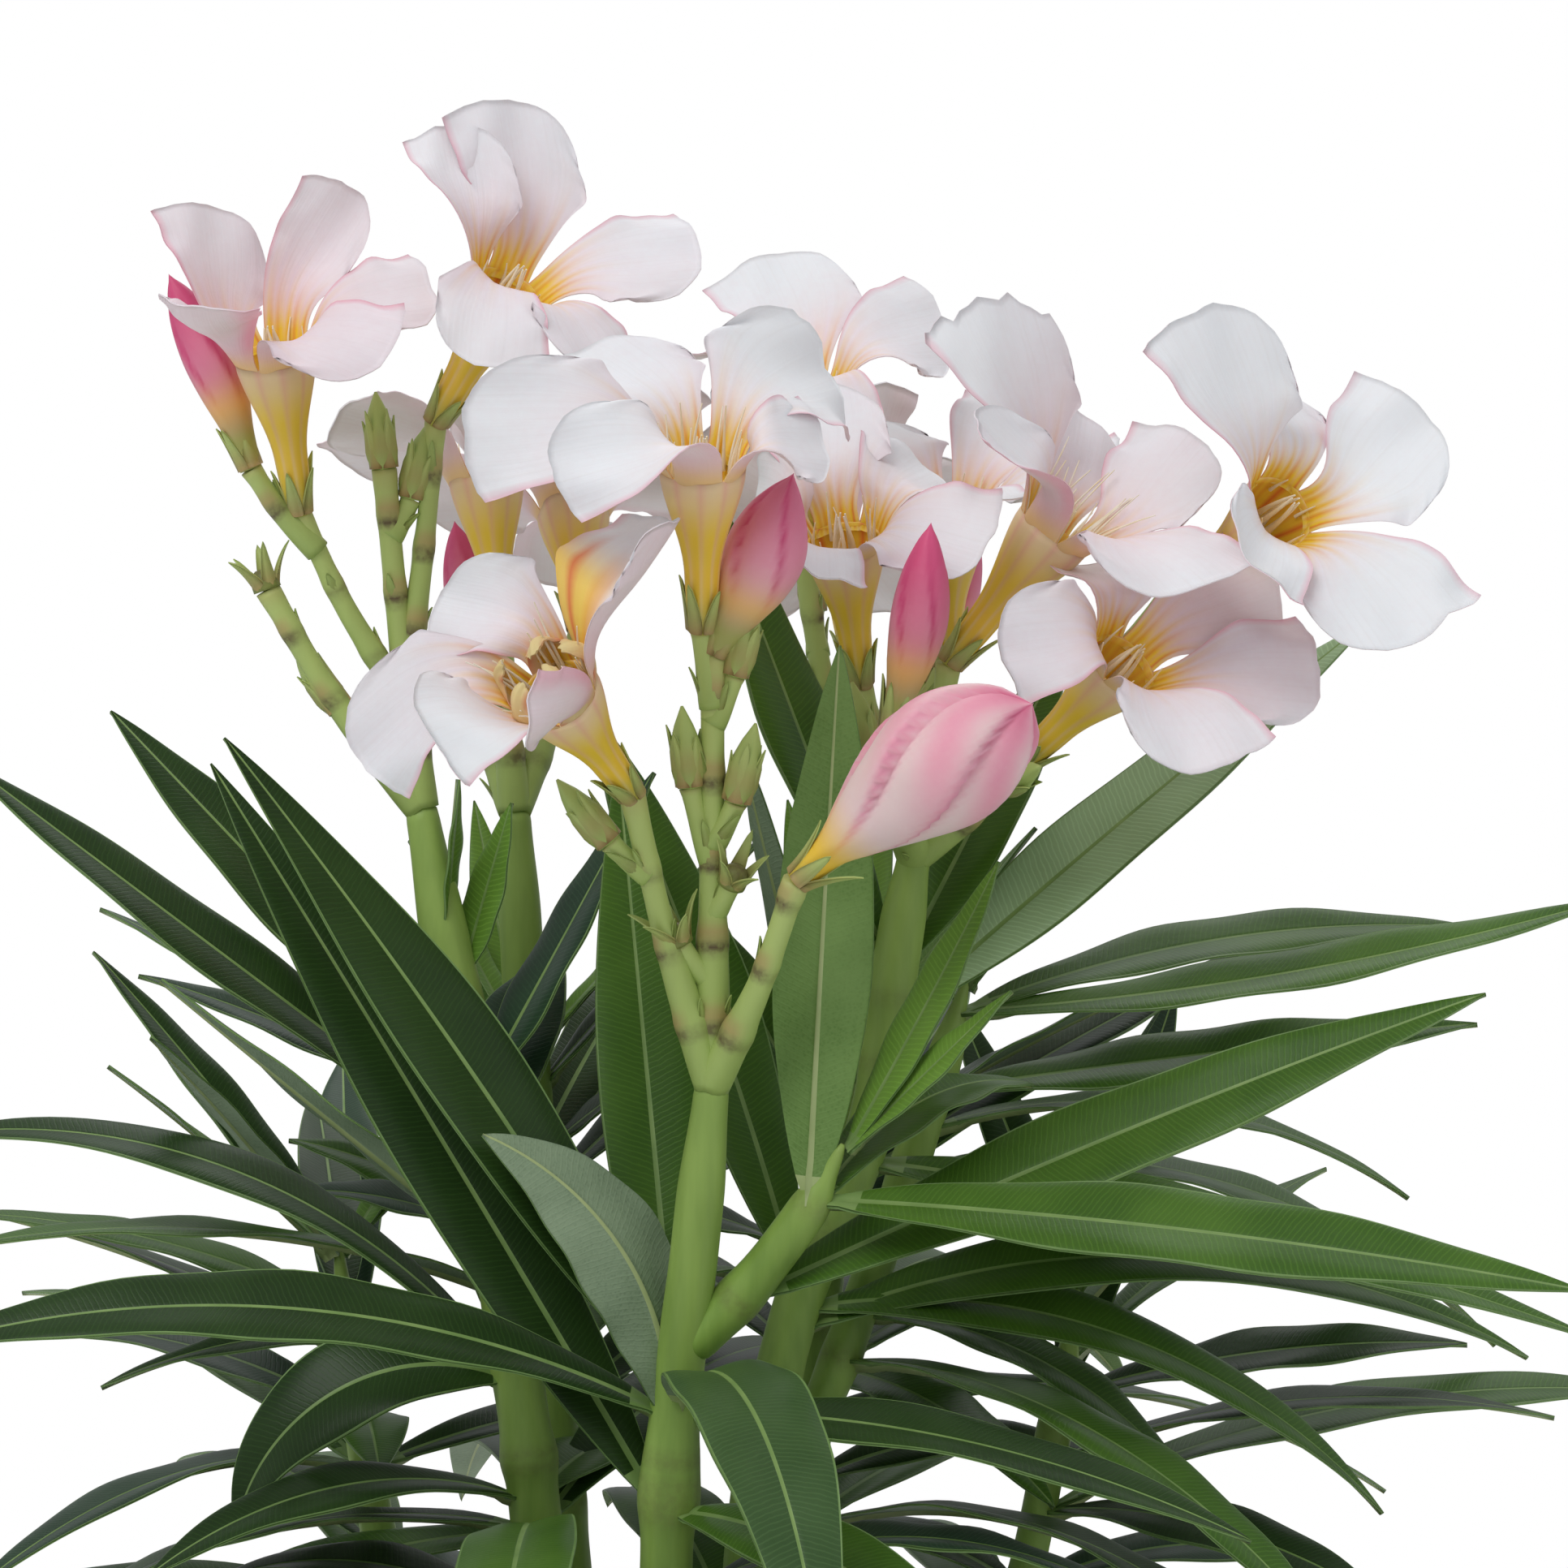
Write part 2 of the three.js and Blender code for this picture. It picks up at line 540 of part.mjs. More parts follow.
// ---------------------------------------------------------------- flowers
// Where a flower, bud or calyx starts, and its own axes: `axis` is the way it faces.
function mounting(end, [, , , , , , azimuth, rise, turn, open]) {
  const axis = towards(azimuth, rise);
  const [side, other] = squareTo(axis);
  return { end, axis, side: side.applyAxisAngle(axis, rad(turn)), other: other.applyAxisAngle(axis, rad(turn)), open };
}

// The rings of a twig up to what it ends in. They are turned to meet the end's own first ring squarely.
function stalk({ curve, parent, mounting: { axis, side } }, sides) {
  return [0, 0.55].map((t) => {
    const direction = curve.getTangent(t);
    const start = side.clone().applyQuaternion(new THREE.Quaternion().setFromUnitVectors(axis, direction));
    const radius = mix(parent < 0 ? TWIG.first : TWIG.side, TWIG.end, t);
    return ring(curve.getPoint(t), start, direction.clone().cross(start), radius, sides);
  });
}

// A twig with a spindle at its end, from rows of [distance, radius], twisted over its length.
function spindle(twig, rows, sides, twist = 0) {
  const { end, axis, side } = twig.mounting;
  const length = rows.at(-1)[0];
  const rings = rows.map(([at, radius]) => {
    const centre = end.clone().addScaledVector(axis, at);
    if (radius === 0) return [centre];
    const start = side.clone().applyAxisAngle(axis, rad((twist * at) / length));
    return ring(centre, start, axis.clone().cross(start), radius, sides);
  });
  return solid(loft([...stalk(twig, sides), ...rings]));
}

// A petal's two edges as [share of its length, share of its width to the side]: one is round, the other has a corner.
const ROUND_EDGE = [[0.22, -0.22], [0.5, -0.41], [0.76, -0.45], [1, -0.1]];
const CORNER_EDGE = [[0.22, 0.24], [0.5, 0.44], [0.76, 0.54], [0.9, 0.6]];
const PETAL_STEPS = 50;
const CLAW_LEAN = 24;

// A flower's five petals, each as its direction and sizes, and the turn of the first about the flower's axis.
function petalPlan({ petals, seed, mounting: { axis, side, other, open } }) {
  const pitch = 360 / FLOWER.petals;
  if (petals) {
    const rows = petals.map(([azimuth, rise, length, width, roll, curl]) => ({
      direction: towards(azimuth, rise), length, width, roll, curl,
    }));
    const turns = rows.map(({ direction }) => (Math.atan2(direction.dot(other), direction.dot(side)) * 180) / Math.PI);
    const wrapped = (degrees) => THREE.MathUtils.euclideanModulo(degrees + 180, 360) - 180;
    const offsets = turns.map((turn, k) => wrapped(turn - turns[0] - pitch * k));
    return { rows, first: turns[0] + offsets.reduce((a, b) => a + b) / FLOWER.petals };
  }
  const draw = dice(seed);
  const rows = Array.from({ length: FLOWER.petals }, (_, k) => {
    const out = side.clone().applyAxisAngle(axis, rad(pitch * k));
    const lean = rad(FLOWER.lean * open + 10 * (draw() - 0.5));
    const direction = axis.clone().multiplyScalar(Math.cos(lean)).addScaledVector(out, Math.sin(lean));
    const length = FLOWER.petal * mix(0.94, 1.06, draw());
    return { direction, length, width: FLOWER.petalWidth, roll: FLOWER.roll, curl: FLOWER.curl * draw() };
  });
  return { rows, first: 0 };
}

// A petal's middle line from the flower's rim: at each step its place, and the ways its width and its face point.
function petalLine(axis, out, rim, { direction, length, roll, curl }) {
  const across = axis.clone().cross(out);
  const start = axis.clone().multiplyScalar(Math.cos(rad(CLAW_LEAN))).addScaledVector(out, Math.sin(rad(CLAW_LEAN)));
  const next = rim.clone();
  return Array.from({ length: PETAL_STEPS + 1 }, (_, i) => {
    const u = i / PETAL_STEPS;
    const along = start.clone().lerp(direction, smooth(u / 0.5)).normalize();
    const facing = along.clone().cross(across).normalize();
    const bend = rad(curl * u * u);
    along.multiplyScalar(Math.cos(bend)).addScaledVector(facing, -Math.sin(bend));
    const place = next.clone();
    next.addScaledVector(along, length / PETAL_STEPS);
    const flat = across.clone().addScaledVector(along, -along.dot(across)).normalize();
    const normal = along.clone().cross(flat);
    const turn = rad(roll * u);
    const width = flat.clone().multiplyScalar(Math.cos(turn)).addScaledVector(normal, Math.sin(turn));
    normal.multiplyScalar(Math.cos(turn)).addScaledVector(flat, -Math.sin(turn));
    return { place, width, normal };
  });
}

// A twig and its flower as one closed surface: a five-sided tube widens to the throat, and five petals leave its rim.
function flower(twig) {
  const { end, axis } = twig.mounting;
  const { tube: reach, neck, throat, thickness, petals } = FLOWER;
  const { rows, first } = petalPlan(twig);
  const side = twig.mounting.side.clone().applyAxisAngle(axis, rad(first));
  const pitch = rad(360 / petals);
  const point = (turn, radius, along) => {
    const out = side.clone().applyAxisAngle(axis, turn);
    return end.clone().addScaledVector(axis, along).addScaledVector(out, radius);
  };
  const vertices = [];
  const faces = [];
  const add = (p) => vertices.push(p) - 1;
  const ringAt = (radius, along) =>
    Array.from({ length: petals }, (_, k) => add(point(pitch * (k - 0.5), radius, along)));
  const half = side.clone().applyAxisAngle(axis, -pitch / 2);
  const [root, middle] = stalk({ ...twig, mounting: { axis, side: half } }, petals).map((points) => points.map(add));
  const foot = ringAt(neck, 1);
  const waist = ringAt(neck * 1.2, reach * 0.35);
  const flank = ringAt(throat * 0.72, reach * 0.7);
  const rimBelow = ringAt(throat + 0.4, reach - thickness);
  const rim = ringAt(throat, reach);
  const heart = add(point(0, 0, reach - 3));
  rows.forEach((row, k) => {
    const next = (k + 1) % petals;
    for (const [low, high] of [[root, middle], [middle, foot], [foot, waist], [waist, flank], [flank, rimBelow]])
      faces.push(low[k], low[next], high[next], low[k], high[next], high[k]);
    faces.push(heart, rim[k], rim[next]);
    if (k > 0 && k + 1 < petals) faces.push(root[0], root[k + 1], root[k]);
    const line = petalLine(axis, side.clone().applyAxisAngle(axis, pitch * k), point(pitch * k, throat, reach), row);
    const mirrored = (edge) => edge.map(([share, x]) => [share, -x]);
    const outline = row.width > 0 ? [ROUND_EDGE, CORNER_EDGE] : [CORNER_EDGE, ROUND_EDGE].map(mirrored);
    const edge = (which, height) =>
      outline[which].map(([share, x]) => {
        const { place, width, normal } = line[Math.round(share * PETAL_STEPS)];
        return add(place.clone().addScaledVector(width, Math.abs(row.width) * x).addScaledVector(normal, height));
      });
    const [above, below] = [thickness / 2, -thickness / 2];
    const [small, big] = [[rim[k], ...edge(0, above)], [rim[next], ...edge(1, above)]];
    const [smallUnder, bigUnder] = [[rimBelow[k], ...edge(0, below)], [rimBelow[next], ...edge(1, below)]];
    for (let j = 0; j + 1 < small.length; j++) {
      faces.push(small[j], small[j + 1], big[j + 1], small[j], big[j + 1], big[j]);
      faces.push(smallUnder[j], bigUnder[j + 1], smallUnder[j + 1], smallUnder[j], bigUnder[j], bigUnder[j + 1]);
    }
    const border = [...small, ...[...big].reverse()];
    const borderUnder = [...smallUnder, ...[...bigUnder].reverse()];
    for (let j = 0; j + 1 < border.length; j++) {
      const [a, b, aUnder, bUnder] = [border[j], border[j + 1], borderUnder[j], borderUnder[j + 1]];
      faces.push(b, a, aUnder, b, aUnder, bUnder);
    }
  });
  const geometry = new THREE.BufferGeometry().setFromPoints(vertices);
  geometry.setIndex(faces);
  return solid(geometry);
}

const ENDS = {
  flower,
  bud: (twig) => spindle(twig, [[2, 2.1], [8, 2.8], [17, 4.5], [26, 3.5], [34, 0]], 6, 50),
  plump: (twig) => spindle(twig, [[2, 2.4], [9, 4.6], [17, 6.4], [24, 4.6], [31, 0]], 6, 50),
  fat: (twig) => spindle(twig, [[2, 2.2], [9, 3.6], [19, 8], [29, 10.4], [39, 7.8], [45, 0]], 7, 70),
  green: (twig) => spindle(twig, [[1, 2.1], [5, 2.6], [13, 0]], 5, 20),
  spent: (twig) => spindle(twig, [[1, 1.8], [8, 3.3]], 5, 20),
};

// A head's twigs, each from its parent twig or from the shoot's tip, bent a little upwards.
function twigsOf(head) {
  const shoot = SHOOTS.find(({ name }) => name === head.on);
  const curves = [];
  return head.twigs.map((row, place) => {
    const [parent, t, azimuth, rise, length, kind] = row;
    const start = parent < 0 ? vec(shoot.path.at(-1)) : curves[parent].getPoint(t);
    const end = start.clone().addScaledVector(towards(azimuth, rise), length);
    const bow = start.clone().lerp(end, 0.5).addScaledVector(towards(azimuth, 0), (length / 14) * Math.cos(rad(rise)));
    curves.push(curveOf([start.toArray(), bow.toArray(), end.toArray()]));
    const petals = PETALS[head.name]?.[place];
    const seed = 100 * head.name.length + 17 * place;
    return { curve: curves.at(-1), kind, parent, petals, seed, mounting: mounting(end, row) };
  });
}

// The head's twigs start inside the shoot's tip, and a plane cuts them a clearance above it.
function headSolid(head) {
  const shoot = SHOOTS.find(({ name }) => name === head.on);
  const direction = curveOf(shoot.path).getTangent(1);
  const made = fuse(twigsOf(head).map((twig) => ENDS[twig.kind](twig)));
  return made.trimByPlane(direction.toArray(), direction.dot(vec(shoot.path.at(-1))) + GAP);
}

// ---------------------------------------------------------------- limbs
const LIMBS = new Map(
  [
    ...STEMS.map(([name, on, foot, tip, path]) => ({ name, on, radii: [foot, tip], path, sides: 7, flare: 0.45 })),
    ...BOUGHS.map(([name, on, foot, tip, path]) => ({ name, on, radii: [foot, tip], path, sides: 6, flare: 0 })),
    ...SHOOTS.map(({ name, on, radii, path }) => ({ name, on, radii, path, sides: 6, flare: 0 })),
  ].map((limb) => [limb.name, limb]),
);

// Whether a limb goes on from its parent's tip, and not from its side.
const goesOn = ({ on, path }) => on !== null && vec(path[0]).distanceTo(vec(LIMBS.get(on).path.at(-1))) < GAP;

// A limb's solid, swollen by `extra`. A stem flares at its flat foot. A limb that goes on starts inside its parent.
function limbTube(limb, extra = 0) {
  const { radii, path, sides, flare } = limb;
  const stations = [...path];
  if (goesOn(limb)) {
    const back = curveOf(LIMBS.get(limb.on).path).getTangent(1);
    stations.unshift(vec(path[0]).addScaledVector(back, -3).toArray());
  }
  const radiusAt = (t) => mix(...radii, t) * (1 + flare * Math.exp(-t * 12)) + extra;
  return solid(tube(curveOf(stations), radiusAt, sides, flare ? 7 : 6));
}

// A limb that goes on is cut flat a clearance above its parent's tip, and one that leaves the side is cut back to the
// same clearance from the parent.
function limbSolid(limb) {
  if (!limb.on) return limbTube(limb).trimByPlane([0, 0, 1], FOOT);
  const parent = LIMBS.get(limb.on);
  if (!goesOn(limb)) return largest(limbTube(limb).subtract(limbTube(parent, GAP)));
  const direction = curveOf(parent.path).getTangent(1);
  return limbTube(limb).trimByPlane(direction.toArray(), direction.dot(vec(parent.path.at(-1))) + GAP);
}

// ---------------------------------------------------------------- pot and soil
// The pot's wall in section, from the underside up the outside, over the rim and down the inside.
const BAND_FOOT = POT.height - POT.bandHeight;
const outerAt = (z) => mix(POT.footRadius, POT.rimRadius - POT.bandStep, z / POT.height);
const innerAt = (z) => outerAt(z) - POT.wall;

function potSolid() {
  const { height, rimRadius, bandStep, wall, floor, footRadius } = POT;
  const section = [
    [0, 0], [footRadius - 2, 0], [footRadius, 2], [outerAt(BAND_FOOT), BAND_FOOT],
    [rimRadius - 1.5, BAND_FOOT + 2], [rimRadius, BAND_FOOT + 4.5], [rimRadius + 1, height - 3],
    [rimRadius - 1.5, height], [rimRadius - bandStep - wall + 2, height], [innerAt(height), height - 2.5],
    [innerAt(floor), floor + 3], [innerAt(floor) - 4, floor], [0, floor],
  ];
  const lathe = new THREE.LatheGeometry(section.map(([r, z]) => new THREE.Vector2(r, z)), 40);
  lathe.rotateX(Math.PI / 2);
  let made = solid(lathe);
  for (let k = 0; k < DRAIN.holes; k++) {
    const turn = (2 * Math.PI * k) / DRAIN.holes + Math.PI / 2;
    const hole = new THREE.CylinderGeometry(DRAIN.radius, DRAIN.radius, 3 * floor, 12).rotateX(Math.PI / 2);
    hole.translate(DRAIN.ring * Math.cos(turn), DRAIN.ring * Math.sin(turn), 0);
    made = made.subtract(solid(hole));
  }
  return made;
}

function soilSolid() {
  const top = innerAt(SOIL_TOP) - 2 * GAP;
  const foot = innerAt(POT.floor) - 5;
  const section = [[0, POT.floor + GAP], [foot, POT.floor + GAP], [foot + 4, POT.floor + 6]];
  section.push([top, SOIL_TOP - 3], [top - 4, SOIL_TOP], [0, SOIL_TOP]);
  const lathe = new THREE.LatheGeometry(section.map(([r, z]) => new THREE.Vector2(r, z)), 24);
  return solid(lathe.rotateX(Math.PI / 2));
}

// ---------------------------------------------------------------- the plant put together
function claimLimbs() {
  for (const limb of LIMBS.values()) {
    const curve = curveOf(limb.path);
    const steps = Math.ceil(curve.getLength() / 3);
    // A side limb's first stretch lies between its parent's leaves, so it claims nothing there.
    const first = limb.on && !goesOn(limb) ? 4 : 0;
    for (let i = first; i <= steps; i++) {
      const direction = curve.getTangent(i / steps);
      const radius = mix(...limb.radii, i / steps);
      claim(ring(curve.getPoint(i / steps), ...squareTo(direction), radius, 8), limb.name);
    }
  }
  for (const head of HEADS)
    for (const { curve, kind, mounting: m } of twigsOf(head)) {
      const reach = kind === "flower" ? FLOWER.tube + 8 : 30;
      const line = Array.from({ length: 12 }, (_, i) => m.end.clone().addScaledVector(m.axis, (reach * i) / 11));
      claim([...curve.getPoints(12), ...line], head.name);
      if (kind !== "flower") continue;
      const mouth = m.end.clone().addScaledVector(m.axis, FLOWER.tube + 4);
      const disc = Array.from({ length: 90 }, (_, i) => {
        const [turn, out] = [2.4 * i, (FLOWER.petal + 3) * Math.sqrt(i / 89)];
        const across = m.side.clone().multiplyScalar(out * Math.cos(turn));
        return mouth.clone().add(across).addScaledVector(m.other, out * Math.sin(turn));
      });
      claim(disc, head.name);
    }
}

const plant = new THREE.Group();
plant.add(meshOf("pot", potSolid(), COLOURS.clay, 0.85));
plant.add(meshOf("soil", soilSolid(), COLOURS.soil, 0.95));

claimLimbs();
for (const [name] of [...STEMS, ...BOUGHS]) plant.add(meshOf(name, limbSolid(LIMBS.get(name)), COLOURS.bark, 0.7));
// Hand-set leaves claim their space before any whorl does.
const order = [...SHOOTS.keys()].sort((a, b) => Boolean(SHOOTS[b].leaves) - Boolean(SHOOTS[a].leaves) || a - b);
for (const index of order) {
  const shoot = SHOOTS[index];
  const leaves = grow(shoot, index + 1).map(leafSolid);
  plant.add(meshOf(shoot.name, fuse([limbSolid(LIMBS.get(shoot.name)), ...leaves]), COLOURS.leaf, 0.5));
}
for (const head of HEADS) plant.add(meshOf(head.name, headSolid(head), COLOURS.petal, 0.55));

export default plant;
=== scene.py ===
"""A flowering oleander in a plain clay pot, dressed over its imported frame.

Limbs, leaves and flowers grow by the same rules as the solids do, in millimetres, and are carried finer here:
ribbed leaves with a midrib and a rim, ruffled petals with a fringed throat, buds, calyxes, bark and soil.
An azimuth of 0 points along +X and 90 along +Y, and a rise is measured up from level, both in degrees.
"""

import json
import math

import bpy
import numpy as np
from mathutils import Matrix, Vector

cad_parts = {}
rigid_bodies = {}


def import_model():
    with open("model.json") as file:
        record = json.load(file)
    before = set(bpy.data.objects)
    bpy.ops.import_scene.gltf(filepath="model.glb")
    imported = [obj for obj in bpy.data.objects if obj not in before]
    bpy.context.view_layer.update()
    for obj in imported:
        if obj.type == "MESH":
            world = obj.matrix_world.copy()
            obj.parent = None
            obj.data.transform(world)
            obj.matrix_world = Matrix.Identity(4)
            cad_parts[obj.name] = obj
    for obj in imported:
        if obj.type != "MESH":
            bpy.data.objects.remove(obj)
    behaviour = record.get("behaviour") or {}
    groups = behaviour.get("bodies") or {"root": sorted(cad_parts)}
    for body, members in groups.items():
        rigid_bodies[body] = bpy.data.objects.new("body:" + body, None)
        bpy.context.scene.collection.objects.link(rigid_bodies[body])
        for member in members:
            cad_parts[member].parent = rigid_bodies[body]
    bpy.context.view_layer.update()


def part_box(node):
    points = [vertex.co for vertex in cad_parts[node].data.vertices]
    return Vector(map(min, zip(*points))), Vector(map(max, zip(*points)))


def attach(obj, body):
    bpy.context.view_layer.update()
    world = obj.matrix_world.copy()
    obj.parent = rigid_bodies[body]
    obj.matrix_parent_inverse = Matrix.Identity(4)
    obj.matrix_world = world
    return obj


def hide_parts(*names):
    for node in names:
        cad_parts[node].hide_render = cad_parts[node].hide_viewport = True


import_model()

MM = 0.001
# How far the stems stand off the soil, and how near its parent's tip a limb starts that goes on from it.
GAP = 0.3
SOIL_LOW, SOIL_HIGH = (np.array(corner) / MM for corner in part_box("soil"))
POT_HIGH = np.array(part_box("pot")[1]) / MM
SOIL_TOP = SOIL_HIGH[2]
FOOT = SOIL_TOP + GAP

# The usual leaf's length and width, and in degrees how far its halves fold up and a whorl's leaves stray.
LEAF = dict(length=118, width=17, fold=11, jitter=9)
# The size of a cell of the space that leaves share.
CELL = 3
# How far from its foot a leaf may lie close to other parts, and how far within its own shoot's leaves.
FREE_ROOT = 9
OWN_ROOT = 26
# What a leaf whose space is taken tries: turns and lifts in degrees, and shares of its length.
TURNS = [0, 12, -12, 24, -24, 36, -36]
SMALL_TURNS = [0, 6, -6, 12, -12]
LIFTS = [0, 10, -10, 20]
SHARES = [1, 0.8, 0.62]
# A flower's tube length, its radius at the neck and at the throat, and its petals' usual length and width.
FLOWER = dict(tube=27, neck=2.1, throat=6.2, petal=27, width=21)
PETALS_EACH = 5
PETAL_TURN = 360 / PETALS_EACH

# ---------------------------------------------------------------- the plant's plan
# Each limb: its name, what carries it, its radius at foot and tip, and the stations that its centreline
# runs through.
STEMS = [
    ("stem_front", None, 6.6, 5.0, [(7, -14, FOOT), (4, -10, 215), (0, -7, 284)]),
    ("stem_left", None, 6.2, 4.8, [(-18, -3, FOOT), (-18, 4, 220), (-21, 10, 288)]),
    ("stem_back_left", None, 6.0, 4.6, [(-10, 18, FOOT), (-12, 26, 215), (-16, 36, 278)]),
    ("stem_back_right", None, 6.2, 4.8, [(12, 13, FOOT), (11, 22, 218), (12, 32, 284)]),
]
BOUGHS = [
    ("bough_front", "stem_front", 4.9, 4.5, [(0, -7, 284), (-2, -8.5, 308), (-3, -9, 330)]),
    ("bough_right", "stem_front", 4.4, 4.2, [(1, -8, 247), (11, 0, 284), (8, 8, 338)]),
    ("bough_right_low", "stem_front", 3.8, 3.5, [(2, -8.5, 246), (17, -22, 270), (27, -32, 298)]),
    ("bough_left", "stem_left", 4.7, 4.4, [(-21, 10, 288), (-22.5, 11.5, 314), (-23, 12, 340)]),
    ("bough_left_low", "stem_left", 3.9, 3.5, [(-19, 7.5, 256), (-36, 2, 282), (-46, -3, 312)]),
    ("bough_back_left", "stem_back_left", 4.5, 4.2, [(-16, 36, 278), (-19, 44, 312), (-22, 51, 346)]),
    ("bough_back_left_low", "stem_back_left", 3.8, 3.5, [(-13, 29, 245), (-32, 44, 274), (-44, 52, 306)]),
    ("bough_back_right", "stem_back_right", 4.7, 4.3, [(12, 32, 284), (14, 41, 318), (17, 48, 348)]),
    ("bough_back_right_low", "stem_back_right", 3.9, 3.5, [(11, 26, 250), (30, 32, 278), (42, 36, 310)]),
    ("bough_front_lowest", "stem_left", 3.4, 3.1, [(-18, 3, 203), (-23, -14, 228), (-26, -32, 254)]),
    ("bough_left_lowest", "stem_back_left", 3.4, 3.1, [(-11, 24, 196), (-34, 26, 222), (-54, 28, 252)]),
    ("bough_right_lowest", "stem_back_right", 3.4, 3.1, [(11, 21, 206), (32, 14, 228), (51, 4, 254)]),
]

